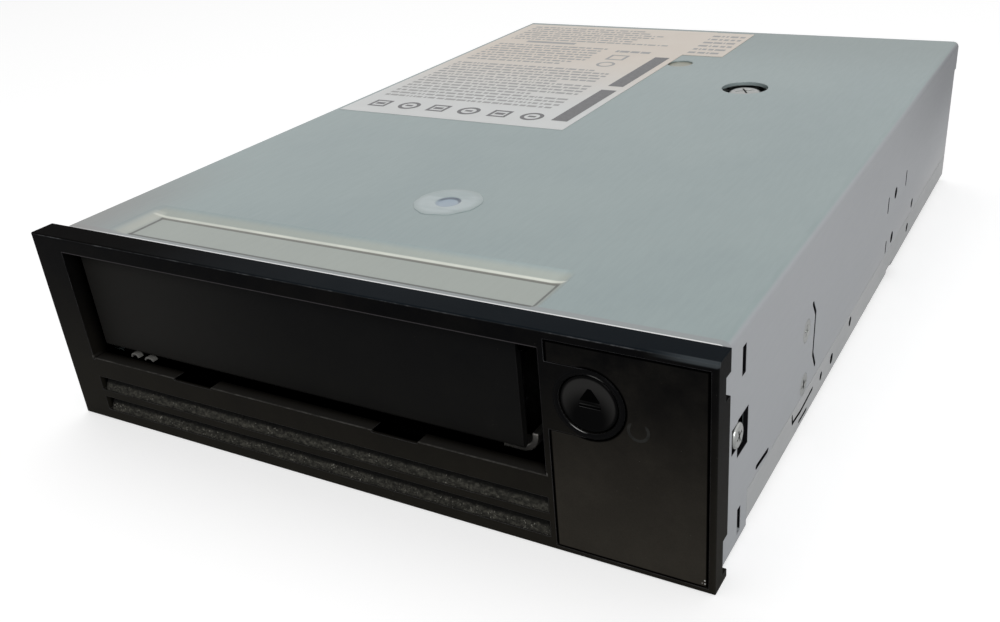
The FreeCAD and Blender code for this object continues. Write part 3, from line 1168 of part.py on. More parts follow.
# ---------------------------------------------------------------- all pieces
PIECES = {
    "chassis_base": chassis_base,
    "top_cover": top_cover,
    "deck_frame": deck_frame,
    "guide_studs": guide_studs,
    "bezel": bezel,
    "control_panel": control_panel,
    "lower_filter_foam": lambda: filter_foam(VENT_BOTTOMS[0]),
    "upper_filter_foam": lambda: filter_foam(VENT_BOTTOMS[1]),
    "cartridge_door": cartridge_door,
    "door_pins": door_pins,
    "door_spring": door_spring,
    "eject_button": eject_button,
    "button_spring": button_spring,
    "panel_board": panel_board,
    "eject_switch": eject_switch,
    "status_leds": status_leds,
    "panel_ribbon": panel_ribbon,
    "loader_carriage": carriage,
    "right_cam_plate": cam_plate,
    "left_cam_plate": left_cam_plate,
    "cartridge_tray": cartridge_tray,
    "tray_pins": tray_pins,
    "sync_shaft": sync_shaft,
    "sync_gears": sync_gears,
    "reduction_gear": reduction_gear,
    "loader_pinion": loader_pinion,
    "loader_motor": loader_motor,
    "supply_stator": lambda: motor_stator(BAY_CENTRE, SUPPLY_Y),
    "supply_rotor": lambda: motor_rotor(BAY_CENTRE, SUPPLY_Y, ROTOR_TOP + 3.5),
    "supply_clutch": supply_clutch,
    "takeup_stator": lambda: motor_stator(TAKEUP_X, TAKEUP_Y),
    "takeup_rotor": lambda: motor_rotor(TAKEUP_X, TAKEUP_Y, HUB_FLOOR - 0.2),
    "takeup_reel": takeup_reel,
    "threader_post": threader_post,
    "threader_bridge": threader_bridge,
    "threader_arm": threader_arm,
    "leader_block": leader_block,
    "threader_pinion": threader_pinion,
    "threader_motor": threader_motor,
    "roller_posts": roller_posts,
    "guide_roller_1": lambda: guide_roller(0),
    "guide_roller_2": lambda: guide_roller(1),
    "guide_roller_3": lambda: guide_roller(2),
    "guide_roller_4": lambda: guide_roller(3),
    "head_bracket": head_bracket,
    "head_guide_rods": head_guide_rods,
    "head_carriage": head_carriage,
    "head_block": head_block,
    "head_stepper": head_stepper,
    "lead_screw": lead_screw,
    "main_board": main_board,
    "board_chips": board_chips,
    "data_power_connector": lambda: connector(CONNECTOR_X, 2.0),
    "service_connector": lambda: connector(SERVICE_X, 1.2),
    "pan_head_screws": pan_head_screws,
    "flat_head_screws": flat_head_screws,
    "board_screws": board_screws,
    "spec_label": spec_label,
    "hole_seal": hole_seal,
}


def save(name, shape):
    shape = shape.copy()
    shape.translate(Vector(0, -LENGTH / 2, 0))
    shape.exportStep(os.path.join("parts", name + ".step"))
    print(name, len(shape.Solids), "solids", round(shape.Volume, 1), "mm3", "valid" if shape.isValid() else "BAD")


os.makedirs("parts", exist_ok=True)
for piece, make in PIECES.items():
    save(piece, make())
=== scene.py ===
import math
import random

import bmesh
import bpy
from mathutils import Matrix, Vector, noise


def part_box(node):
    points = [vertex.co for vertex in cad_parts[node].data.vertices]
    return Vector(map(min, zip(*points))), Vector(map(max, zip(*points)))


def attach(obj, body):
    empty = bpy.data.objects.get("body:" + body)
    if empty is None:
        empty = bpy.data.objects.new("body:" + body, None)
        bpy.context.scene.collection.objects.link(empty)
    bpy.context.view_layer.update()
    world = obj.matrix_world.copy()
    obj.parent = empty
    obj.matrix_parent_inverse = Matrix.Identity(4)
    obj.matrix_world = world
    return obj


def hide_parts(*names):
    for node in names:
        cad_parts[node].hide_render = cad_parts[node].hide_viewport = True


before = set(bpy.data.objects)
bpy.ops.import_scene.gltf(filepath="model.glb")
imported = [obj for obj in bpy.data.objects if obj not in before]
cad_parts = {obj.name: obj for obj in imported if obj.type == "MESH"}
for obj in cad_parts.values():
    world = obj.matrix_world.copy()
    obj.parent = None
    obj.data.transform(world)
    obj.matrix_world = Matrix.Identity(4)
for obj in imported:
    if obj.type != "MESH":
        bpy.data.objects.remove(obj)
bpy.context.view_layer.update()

# A half-height data tape drive. The camera looks at its front, right side and roof.
# Lengths in the helpers below are in millimetres, and MM turns them into metres.
MM = 0.001


# ---------------------------------------------------------------- places
def span(node):
    """Lowest and highest corners of a node, in metres."""
    low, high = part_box(node)
    return Vector(low), Vector(high)


def middle(node):
    low, high = span(node)
    return (low + high) / 2


BEZEL_LOW, BEZEL_HIGH = span("bezel")
BUTTON_LOW, BUTTON_HIGH = span("eject_button")
BUTTON = middle("eject_button")
PANEL_LOW, PANEL_HIGH = span("control_panel")
VENT_LOW, VENT_HIGH = span("lower_filter_foam")
LABEL_LOW, LABEL_HIGH = span("spec_label")
COVER_HIGH = span("top_cover")[1]
SEAL_TOP = span("hole_seal")[1].z
SEAL = Vector((-1.5 * MM, BEZEL_LOW.y + 45.6 * MM, SEAL_TOP))

# Edges on the bezel's front, in millimetres of the frame's x and z
OPENING_LEFT = -66.0
OPENING_RIGHT = 44.2
PAD_TOP = 15.5            # the pads on the sill
LINTEL = 40.0             # the opening's upper edge
VENTS_BOTTOM = 2.4
VENTS_TOP = 11.2

# Edges of the panel pressed into the roof: x, and y behind the bezel's front face, in millimetres
PRESS_LEFT = -57.0
PRESS_RIGHT = 37.8
PRESS_FRONT = 9.8
PRESS_REAR = 19.0


# ---------------------------------------------------------------- finishes
class Finish:
    """A Principled material built up from patterns in object space."""

    def __init__(self, name, rough, metal=0.0, specular=0.5):
        self.mat = bpy.data.materials.new(name)
        self.mat.use_nodes = True
        self.tree = self.mat.node_tree
        self.shader = self.tree.nodes["Principled BSDF"]
        self.shader.inputs["Roughness"].default_value = rough
        self.shader.inputs["Metallic"].default_value = metal
        self.shader.inputs["Specular IOR Level"].default_value = specular
        self.place = self.add("ShaderNodeTexCoord").outputs["Object"]
        self.normal = None

    def add(self, kind, **settings):
        node = self.tree.nodes.new(kind)
        for key, value in settings.items():
            setattr(node, key, value)
        return node

    def feed(self, node, socket, value):
        """Joins an output to a socket, or sets the socket to a plain value."""
        if isinstance(value, bpy.types.NodeSocket):
            self.tree.links.new(value, node.inputs[socket])
        else:
            node.inputs[socket].default_value = value

    def stretched(self, stretch):
        mapping = self.add("ShaderNodeMapping")
        self.feed(mapping, "Vector", self.place)
        self.feed(mapping, "Scale", stretch)
        return mapping.outputs["Vector"]

    def noise(self, size, detail=3.0, rough=0.5, stretch=(1, 1, 1)):
        """Soft noise whose blobs are about this many millimetres wide."""
        node = self.add("ShaderNodeTexNoise")
        self.feed(node, "Vector", self.stretched(stretch))
        self.feed(node, "Scale", 1 / (size * MM))
        self.feed(node, "Detail", detail)
        self.feed(node, "Roughness", rough)
        return node.outputs["Fac"]

    def cells(self, size, feature="F1", stretch=(1, 1, 1), output="Distance"):
        node = self.add("ShaderNodeTexVoronoi", feature=feature)
        self.feed(node, "Vector", self.stretched(stretch))
        self.feed(node, "Scale", 1 / (size * MM))
        return node.outputs[output]

    def math(self, operation, a, b=0.0, c=0.0):
        node = self.add("ShaderNodeMath", operation=operation)
        for index, value in enumerate((a, b, c)):
            self.feed(node, index, value)
        return node.outputs[0]

    def band(self, fac, low, high):
        """0 below low, 1 above high, and smooth between."""
        node = self.add("ShaderNodeMapRange", interpolation_type="SMOOTHSTEP")
        self.feed(node, "Value", fac)
        self.feed(node, "From Min", low)
        self.feed(node, "From Max", high)
        return node.outputs["Result"]

    def within(self, value, low, high, blur):
        """1 between two places along an axis and 0 outside them, in millimetres."""
        rising = self.band(value, (low - blur) * MM, low * MM)
        return self.product(rising, self.band(value, (high + blur) * MM, high * MM))

    def ramp(self, fac, stops):
        node = self.add("ShaderNodeValToRGB")
        elements = node.color_ramp.elements
        while len(elements) < len(stops):
            elements.new(0.5)
        for element, (position, colour) in zip(elements, stops):
            element.position = position
            element.color = (*colour, 1)
        self.feed(node, "Fac", fac)
        return node.outputs["Color"]

    def mix(self, fac, a, b, blend="MIX"):
        node = self.add("ShaderNodeMix", data_type="RGBA", blend_type=blend)
        self.feed(node, 0, fac)
        self.feed(node, 6, a if isinstance(a, bpy.types.NodeSocket) else (*a, 1))
        self.feed(node, 7, b if isinstance(b, bpy.types.NodeSocket) else (*b, 1))
        return node.outputs[2]

    def colour(self, value):
        ready = value if isinstance(value, bpy.types.NodeSocket) else (*value, 1)
        self.feed(self.shader, "Base Color", ready)

    def roughness(self, fac, low, high):
        node = self.add("ShaderNodeMapRange")
        self.feed(node, "Value", fac)
        self.feed(node, "To Min", low)
        self.feed(node, "To Max", high)
        self.feed(self.shader, "Roughness", node.outputs["Result"])

    def round_edges(self, radius):
        """Small radius on every hard edge, in millimetres."""
        node = self.add("ShaderNodeBevel", samples=4)
        self.feed(node, "Radius", radius * MM)
        self.normal = node.outputs["Normal"]
        self.feed(self.shader, "Normal", self.normal)
        return self.normal

    def edge_mask(self, low, high):
        """1 on rounded edges and 0 on the flats. round_edges comes first."""
        dot = self.add("ShaderNodeVectorMath", operation="DOT_PRODUCT")
        self.feed(dot, 0, self.normal)
        self.feed(dot, 1, self.add("ShaderNodeNewGeometry").outputs["Normal"])
        return self.band(self.math("SUBTRACT", 1.0, dot.outputs["Value"]), low, high)

    def bump(self, height, depth, strength=1.0):
        """Adds relief of this depth in millimetres over what is there."""
        node = self.add("ShaderNodeBump")
        self.feed(node, "Height", height)
        self.feed(node, "Distance", depth * MM)
        self.feed(node, "Strength", strength)
        if self.normal:
            self.feed(node, "Normal", self.normal)
        self.normal = node.outputs["Normal"]
        self.feed(self.shader, "Normal", self.normal)

    def axis(self, index):
        split = self.add("ShaderNodeSeparateXYZ")
        self.feed(split, 0, self.place)
        return split.outputs[index]

    def paint(self, mask, colour):
        """This colour over what is there, where the mask is 1."""
        under = self.shader.inputs["Base Color"].links[0].from_socket
        self.colour(self.mix(mask, under, colour))

    def shift(self, socket, mask, value):
        """Moves a shader value to another one where the mask is 1."""
        found = self.shader.inputs[socket]
        node = self.add("ShaderNodeMix", data_type="FLOAT")
        self.feed(node, 0, mask)
        self.feed(node, 2, found.links[0].from_socket if found.is_linked else found.default_value)
        self.feed(node, 3, value)
        self.feed(self.shader, socket, node.outputs[0])

    def product(self, first, *others):
        """Masks multiplied together."""
        for other in others:
            first = self.math("MULTIPLY", first, other)
        return first

    def depth(self):
        """Distance behind the bezel's front face."""
        return self.math("SUBTRACT", self.axis(1), BEZEL_LOW.y)

    def radius_from(self, centre, flat):
        """Distance from a line through this point, along the axis that is left out."""
        offset = self.add("ShaderNodeVectorMath", operation="SUBTRACT")
        self.feed(offset, 0, self.place)
        self.feed(offset, 1, centre)
        flattened = self.add("ShaderNodeVectorMath", operation="MULTIPLY")
        self.feed(flattened, 0, offset.outputs[0])
        self.feed(flattened, 1, flat)
        length = self.add("ShaderNodeVectorMath", operation="LENGTH")
        self.feed(length, 0, flattened.outputs[0])
        return length.outputs["Value"]


def sheet_steel(name, tint, deep, rough=0.4, grain=(1, 0.12, 1)):
    """Galvanised sheet: faint rolling grain, cloudy zinc, fine scuffs, and bright cut edges with a painted
    highlight on every rounded edge.
    """
    f = Finish(name, rough, metal=0.35, specular=0.5)
    clouds = f.noise(42, detail=4, rough=0.6)
    rolled = f.noise(0.9, detail=4, rough=0.6, stretch=grain)
    fine = f.noise(0.35, detail=2)
    scuffs = f.band(f.noise(14, detail=6, rough=0.8, stretch=(0.3, 1.6, 1)), 0.66, 0.7)
    base = f.mix(f.band(clouds, 0.3, 0.7), deep, tint)
    grained = f.mix(f.band(rolled, 0.3, 0.7), base, f.mix(0.03, base, (0.0, 0.0, 0.0)))
    scuffed = f.mix(f.product(scuffs, 0.1), grained, (0.12, 0.13, 0.13))
    f.round_edges(0.3)
    edge = f.edge_mask(0.04, 0.35)
    # Painted highlight: every rounded edge, bends as well as cut edges, is lightened towards pale steel.
    f.colour(f.mix(f.product(edge, 0.55), scuffed, (0.72, 0.74, 0.74)))
    f.roughness(f.math("ADD", f.product(rolled, 0.5), f.product(clouds, 0.5)),
                rough - 0.06, rough + 0.08)
    f.bump(rolled, 0.0025)
    f.bump(fine, 0.002)
    f.bump(f.noise(60, detail=1), 0.1)
    return f


def black_plastic(name, colour, bounce_and_dust_tint, rough, specular, texture=0.012, edge_light=(0.11, 0.11, 0.115)):
    """Moulded black plastic: spark-eroded grain, painted light from the floor that lightens and warms it low
    down with a little dust mixed in, and bright corners from a painted highlight, broken up where rubbed.
    """
    f = Finish(name, rough, specular=specular)
    grain = f.noise(0.22, detail=3, rough=0.6)
    dust = f.noise(9, detail=6, rough=0.7)
    f.round_edges(0.24)
    edge = f.edge_mask(0.03, 0.25)
    rubbed_highlight = f.band(f.noise(5, detail=5, rough=0.7), 0.3, 0.65)
    # Painted light: lower parts lighter and warmer, as lit from the floor, mixed with a little dust mottle.
    low = f.band(f.axis(2), 44 * MM, 2 * MM)
    bounce_and_dust = f.math("ADD", f.product(low, 0.8), f.product(f.band(dust, 0.3, 0.8), 0.2))
    body = f.mix(bounce_and_dust, colour, bounce_and_dust_tint)
    mottled = f.mix(f.product(grain, 0.35), body, (0.0, 0.0, 0.0))
    # Painted highlight on the rounded edges, broken up where rubbed.
    wear_and_highlight = f.mix(f.product(edge, f.math("ADD", f.product(rubbed_highlight, 0.45), 0.2)), mottled, edge_light)
    specks = f.band(f.cells(0.6), 0.1, 0.05)
    sparse = f.band(f.noise(2.5, detail=2), 0.62, 0.7)
    f.colour(f.mix(f.product(f.product(specks, sparse), 0.6), wear_and_highlight, (0.13, 0.125, 0.11)))
    f.roughness(dust, rough - 0.06, rough + 0.08)
    f.bump(grain, texture)
    return f


def bright_metal(name, colour, rough, grain=0.4, stretch=(1, 1, 1)):
    """Machined or plated metal with fine tool marks."""
    f = Finish(name, rough, metal=1.0)
    marks = f.noise(grain, detail=4, rough=0.65, stretch=stretch)
    cloud = f.noise(9, detail=3)
    dark = tuple(c * 0.78 for c in colour)
    f.round_edges(0.12)
    f.colour(f.mix(f.band(cloud, 0.35, 0.7), dark, colour))
    f.roughness(marks, rough - 0.08, rough + 0.12)
    f.bump(marks, 0.006)
    return f


def moulded(name, colour, rough=0.4, specular=0.4):
    """Plain engineering plastic with a slight orange peel."""
    f = Finish(name, rough, specular=specular)
    peel = f.noise(0.9, detail=3)
    tone = f.noise(11, detail=3)
    f.round_edges(0.15)
    f.colour(f.mix(f.band(tone, 0.3, 0.7), tuple(c * 0.85 for c in colour), colour))
    f.roughness(tone, rough - 0.05, rough + 0.08)
    f.bump(peel, 0.01)
    return f


def foam_finish():
    """Open-cell filter foam: dark matted fibres with painted glints on a few bright facets, and a painted
    shadow under the upper lip.
    """
    f = Finish("foam", 0.8, specular=0.1)
    fibres = f.noise(0.8, detail=6, rough=0.75, stretch=(0.7, 1, 1))
    pores = f.cells(1.1)
    glints = f.band(f.noise(0.45, detail=4, rough=0.7), 0.61, 0.67)
    patches = f.band(f.noise(5, detail=2), 0.4, 0.65)
    tones = [(0.0, (0.007, 0.0068, 0.0057)),
             (0.5, (0.023, 0.0222, 0.0186)),
             (1.0, (0.056, 0.0535, 0.0445))]
    body = f.ramp(f.product(f.band(fibres, 0.3, 0.7), f.band(pores, 0.0, 0.3)), tones)
    # Painted glints on a few facets.
    lit = f.product(glints, f.math("ADD", f.product(patches, 0.55), 0.12))
    f.colour(f.mix(lit, body, (0.42, 0.41, 0.36)))
    # Painted shadow: black under each strip's upper lip.
    for name in ("lower_filter_foam", "upper_filter_foam"):
        top = span(name)[1].z / MM
        f.paint(f.product(f.within(f.axis(2), top - 1.35, top + 0.2, 0.6), 0.94), (0.0, 0.0, 0.0))
    f.bump(fibres, 0.25)
    f.bump(f.noise(0.3, detail=3), 0.08)
    return f


def board_finish():
    """Green solder mask over fine copper tracks."""
    f = Finish("circuit_board", 0.32, specular=0.5)
    tracks = f.cells(1.3, feature="DISTANCE_TO_EDGE", stretch=(1, 0.35, 1))
    pads = f.band(f.cells(2.1), 0.16, 0.12)
    mask = f.mix(f.band(tracks, 0.06, 0.1), (0.03, 0.16, 0.055), (0.012, 0.085, 0.03))
    f.colour(f.mix(pads, mask, (0.55, 0.52, 0.42)))
    f.bump(f.band(tracks, 0.06, 0.1), 0.02)
    return f


def chip_finish():
    f = Finish("chip", 0.5, specular=0.35)
    f.round_edges(0.1)
    f.colour(f.mix(f.noise(0.5, detail=4), (0.012, 0.012, 0.013), (0.03, 0.03, 0.032)))
    f.bump(f.noise(0.25, detail=2), 0.01)
    return f


def winding_finish():
    """Enamelled copper wire, wound round the motor's axis."""
    f = Finish("winding", 0.3, metal=0.9)
    wire = f.add("ShaderNodeTexWave", wave_type="BANDS", bands_direction="Z")
    f.feed(wire, "Vector", f.place)
    f.feed(wire, "Scale", 1200.0)
    f.colour(f.mix(wire.outputs["Fac"], (0.32, 0.12, 0.05), (0.72, 0.33, 0.16)))
    f.bump(wire.outputs["Fac"], 0.05)
    return f


def label_finish(name, paper):
    """Coated label stock: faintly mottled, slightly shiny."""
    f = Finish(name, 0.38, specular=0.45)
    aged = f.mix(f.noise(16, detail=4), paper, tuple(c * 0.93 for c in paper))
    rear = f.band(f.depth(), 108 * MM, 175 * MM)
    f.colour(f.mix(f.product(rear, 0.8), aged, (0.63, 0.54, 0.45)))
    f.roughness(f.noise(4, detail=3), 0.32, 0.46)
    f.bump(f.noise(1.6, detail=2), 0.012)
    return f


def print_finish(name, dark, pale):
    """Printing ink, a little uneven."""
    f = Finish(name, 0.5, specular=0.3)
    f.colour(f.mix(f.noise(0.7, detail=4), dark, pale))
    return f


def seal_finish():
    """Milky polyester film, clear towards its uneven edge and bluish where it is pressed into the hole, with
    a painted shadow round the hole's rim.
    """
    f = Finish("seal_film", 0.3, specular=0.5)
    distance = f.radius_from(SEAL, (1, 1, 0))
    streaks = f.band(f.noise(5.0, detail=2, stretch=(0.6, 1.6, 1)), 0.35, 0.62)
    milky = f.mix(streaks, (0.32, 0.385, 0.39), (0.405, 0.465, 0.475))
    clear = f.band(distance, 5.4 * MM, 7.3 * MM)
    faded = f.mix(f.product(clear, 0.8), milky, (0.287, 0.345, 0.345))
    dished = f.mix(f.band(distance, 2.9 * MM, 2.3 * MM), faded, (0.3, 0.37, 0.44))
    # Painted shadow in a ring round the hole's rim, darker on its rear side.
    shade = f.product(f.band(distance, 1.9 * MM, 2.3 * MM), f.band(distance, 2.9 * MM, 2.6 * MM))
    rear = f.math("ADD", f.product(f.band(f.axis(1), SEAL.y - 0.6 * MM, SEAL.y + 1.4 * MM), 0.75), 0.15)
    f.colour(f.mix(f.product(shade, rear), dished, (0.07, 0.095, 0.13)))
    f.roughness(f.noise(3.0, detail=2), 0.26, 0.4)
    f.bump(f.noise(5.0, detail=1), 0.05)
    return f


def amber_finish():
    """Yellowed adhesive film over bare steel."""
    f = Finish("amber_film", 0.35, specular=0.4)
    f.colour(f.mix(f.noise(2.0, detail=3), (0.26, 0.26, 0.21), (0.34, 0.34, 0.28)))
    f.bump(f.noise(2.5, detail=2), 0.05)
    return f


def symbol_finish():
    """Polished black of the raised mark on the key, with painted highlights along its lower edges."""
    f = Finish("symbol_black", 0.3, specular=0.0)
    f.colour(f.mix(f.noise(0.8), (0.0006, 0.0006, 0.0006), (0.0014, 0.0014, 0.0015)))
    level = f.math("SUBTRACT", f.axis(2), BUTTON.z)
    leftward = f.band(f.axis(0), BUTTON.x + 2 * MM, BUTTON.x - 2 * MM)
    # Painted highlights along the lower edges of the triangle and the bar, stronger to the left.
    for low, high, shine in ((-0.38, -0.28, 0.022), (-0.97, -0.84, 0.05)):
        f.paint(f.product(f.within(level, low, high, 0.04), f.math("ADD", f.product(leftward, 0.6), 0.3)),
                (shine, shine, shine))
    return f


def mark_finish():
    """Black plastic rubbed grey."""
    f = Finish("mark_grey", 0.5, specular=0.03)
    wear_and_highlight = f.band(f.noise(1.2, detail=3), 0.35, 0.65)
    f.colour(f.mix(wear_and_highlight, (0.0135, 0.0135, 0.0125), (0.019, 0.019, 0.0178)))
    return f


def lamp_finish():
    f = Finish("lamp", 0.2, specular=0.6)
    f.colour(f.mix(f.noise(1.0), (0.55, 0.6, 0.5), (0.68, 0.72, 0.6)))
    return f


def ring_relief(f):
    """Glossy bead in the bezel round the eject button, painted darker, with painted highlight arcs at its
    lower left and upper right.
    """
    distance = f.radius_from(BUTTON, (1, 0, 1))
    bead = f.within(distance, 5.7, 6.0, 0.35)
    f.bump(bead, 0.2)
    f.paint(f.within(distance, 5.4, 6.3, 0.1), (0.002, 0.002, 0.0022))
    f.shift("Specular IOR Level", bead, 0.025)
    f.shift("Roughness", bead, 0.26)
    # Painted highlights: thin bright arcs on the bead's inner edge.
    for across, down, reach, shine in ((-2.1, -5.1, 2.0, 0.3), (1.6, 5.6, 1.8, 0.12)):
        near = f.band(f.radius_from(BUTTON + Vector((across, 0, down)) * MM, (1, 0, 1)), reach * MM, 0.3 * MM)
        f.paint(f.product(f.within(distance, 5.42, 5.5, 0.08), near), (shine, shine, shine * 0.97))


def dark_inside(f):
    """Painted shadow where the opening and the vents run back into the dark, painted light on the tops of the
    sill's pads, and painted highlights along their fronts, broken up where rubbed.
    """
    depth = f.depth()
    level = f.axis(2)
    between = f.within(f.axis(0), VENT_LOW.x / MM - 0.3, VENT_HIGH.x / MM + 0.3, 0.2)
    jambs = f.product(f.band(depth, 0.8 * MM, 4.2 * MM), f.within(level, PAD_TOP, LINTEL + 2, 0.2))
    front_bar = f.within(level, VENTS_TOP + 0.4, PAD_TOP - 0.12, 0.05)
    sill = f.product(f.band(depth, 0.3 * MM, 0.7 * MM), front_bar)
    vents = f.product(f.band(depth, 0.6 * MM, 1.6 * MM), f.within(level, VENTS_BOTTOM, VENTS_TOP, 0.15))
    # Painted shadow: black without sheen inside the opening, behind the sill and in the vents.
    inside_shadow = f.product(between, f.math("MAXIMUM", f.math("MAXIMUM", jambs, sill), vents))
    f.paint(inside_shadow, (0.0, 0.0, 0.0))
    f.shift("Specular IOR Level", inside_shadow, 0.0)
    above = f.band(level, (PAD_TOP - 0.1) * MM, (PAD_TOP - 0.04) * MM)
    below = f.band(level, (PAD_TOP + 0.7) * MM, (PAD_TOP + 0.5) * MM)
    pads = f.product(between, above, below)
    # Painted light on the pads' tops, fading into the painted shadow behind them.
    f.paint(f.product(pads, f.band(depth, 2.9 * MM, 0.5 * MM)), (0.017, 0.016, 0.0145))
    rubbed_highlight = f.band(f.noise(3, detail=5, rough=0.8), 0.4, 0.62)
    # Painted highlight along the pads' front edges, broken up where rubbed.
    edge = f.band(depth, 0.4 * MM, 0.2 * MM)
    f.paint(f.product(pads, edge, f.math("ADD", f.product(rubbed_highlight, 0.7), 0.2)), (0.075, 0.073, 0.068))


def top_light_and_nicks(f):
    """Painted light on the bezel's top: a bluish painted reflection on the top face, painted shade to the
    left, painted highlights on its front edge, broken up by wear, on the opening's lip and at the upper right
    corner, and nicks.
    """
    depth = f.depth()
    level = f.axis(2)
    across = f.axis(0)
    wear_and_highlight = f.band(f.noise(6, detail=6, rough=0.8), 0.42, 0.75)
    # Painted reflection: the top face bluish and darker, with less sheen.
    top = f.band(level, BEZEL_HIGH.z - 0.25 * MM, BEZEL_HIGH.z - 0.1 * MM)
    f.paint(top, (0.0045, 0.0068, 0.0092))
    f.shift("Specular IOR Level", top, 0.014)
    # Painted shade over the top face towards the left.
    left = f.product(top, f.band(across, 10 * MM, -58 * MM))
    f.paint(left, (0.0022, 0.0019, 0.0018))
    f.shift("Specular IOR Level", left, 0.003)
    # Painted highlight: a thin line along the top front edge, broken up by wear.
    edge = f.band(level, BEZEL_HIGH.z - 0.3 * MM, BEZEL_HIGH.z - 0.2 * MM)
    line = f.product(f.within(depth, 0.05, 0.15, 0.08), edge)
    f.paint(f.product(line, f.math("ADD", f.product(wear_and_highlight, 0.4), 0.04)), (0.16, 0.165, 0.17))
    # Painted highlight along the opening's upper lip.
    lip = f.product(f.within(level, LINTEL - 0.1, LINTEL + 0.12, 0.1),
                    f.within(across, OPENING_LEFT + 0.4, OPENING_RIGHT - 0.4, 0.6),
                    f.band(depth, 0.5 * MM, 0.2 * MM))
    f.paint(f.product(lip, 0.6), (0.06, 0.055, 0.058))
    # Painted highlight on the top front edge near the right end.
    corner = f.product(f.band(level, BEZEL_HIGH.z - 0.9 * MM, BEZEL_HIGH.z - 0.5 * MM),
                       f.band(across, BEZEL_HIGH.x - 12 * MM, BEZEL_HIGH.x - 3 * MM))
    f.paint(f.product(f.within(depth, 0.0, 0.8, 0.2), corner, 0.35), (0.1, 0.115, 0.125))
    nicks = f.product(f.band(f.cells(9.0), 0.034, 0.02),
                      f.band(level, (LINTEL - 1) * MM, (LINTEL + 0.5) * MM))
    f.paint(nicks, (0.22, 0.22, 0.22))


def panel_outline(f):
    """Painted shadow in the gap round the panel and round its tab for the key, and pale specks at the lower
    right corner.
    """
    inside = f.product(f.within(f.axis(0), PANEL_LOW.x / MM + 0.5, PANEL_HIGH.x / MM - 0.45, 0.25),
                       f.within(f.axis(2), PANEL_LOW.z / MM + 0.45, PANEL_HIGH.z / MM - 0.35, 0.25),
                       f.band(f.radius_from(BUTTON, (1, 0, 1)), 6.6 * MM, 6.95 * MM))
    # Painted shadow: black without sheen along the panel's edges and the tab's edge.
    outline = f.math("SUBTRACT", 1.0, inside)
    f.paint(outline, (0.0004, 0.0004, 0.0004))
    f.shift("Specular IOR Level", outline, 0.0)
    # Pale specks at the lower right corner.
    corner_specks = f.product(f.within(f.axis(0), PANEL_HIGH.x / MM - 1.0, PANEL_HIGH.x / MM - 0.4, 0.1),
                        f.within(f.axis(2), PANEL_LOW.z / MM + 0.3, PANEL_LOW.z / MM + 2.2, 0.1),
                        f.band(f.cells(0.7), 0.3, 0.2))
    f.paint(corner_specks, (0.4, 0.4, 0.38))


def key_sheen(f):
    """Painted highlight: a soft sheen that sweeps round the upper right of the dished key."""
    corner = BUTTON + Vector((-0.2, 0, -3.0)) * MM
    sweep = f.band(f.radius_from(corner, (1, 0, 1)), 2.4 * MM, 6.4 * MM)
    face = f.band(f.radius_from(BUTTON, (1, 0, 1)), 4.85 * MM, 4.4 * MM)
    f.paint(f.product(sweep, face), (0.0195, 0.019, 0.0185))


def lighter_left(f):
    """Lightens the door towards its left end."""
    f.paint(f.product(f.band(f.axis(0), -5 * MM, -60 * MM), 0.8), (0.0135, 0.013, 0.012))


def deck_shadow(f):
    """Painted shadow: near-black outer faces of the side rails and front end, which the slots and the door's
    gap look on to.
    """
    outer = f.band(f.math("ABSOLUTE", f.axis(0)), COVER_HIGH.x - 3.4 * MM, COVER_HIGH.x - 1.6 * MM)
    front = f.band(f.depth(), 45 * MM, 25 * MM)
    f.paint(f.math("MAXIMUM", outer, front), (0.004, 0.004, 0.0045))


def tray_shadow(f):
    """Painted shadow on the front end of the tray, just behind the door."""
    f.paint(f.band(f.depth(), 30 * MM, 12 * MM), (0.003, 0.003, 0.003))


def shadowed_cuts(f):
    """Painted shadow: near-black cut faces of the holes and slots in the side walls."""
    outer = COVER_HIGH.x / MM
    thickness = f.within(f.math("ABSOLUTE", f.axis(0)), outer - 0.9, outer - 0.1, 0.06)
    front = f.band(f.depth(), 6.4 * MM, 6.8 * MM)
    rear = f.band(f.axis(1), COVER_HIGH.y - 3 * MM, COVER_HIGH.y - 4 * MM)
    cut = f.product(thickness, front, rear, f.within(f.axis(2), 2.4, COVER_HIGH.z / MM - 1.9, 0.2))
    f.paint(cut, (0.006, 0.006, 0.007))
    f.shift("Metallic", cut, 0.0)
    f.shift("Specular IOR Level", cut, 0.05)


def roof_mask(f):
    """1 on the roof and 0 on the walls."""
    return f.band(f.axis(2), COVER_HIGH.z - 1.6 * MM, COVER_HIGH.z - 1.1 * MM)


def side_mask(f):
    """1 on the outer faces of the side walls."""
    return f.band(f.math("ABSOLUTE", f.axis(0)), COVER_HIGH.x - 0.9 * MM, COVER_HIGH.x - 0.2 * MM)


def side_light_tint(f):
    """Painted light: a lighter, cooler grey on the side walls."""
    f.paint(f.product(side_mask(f), 0.7), (0.385, 0.38, 0.405))


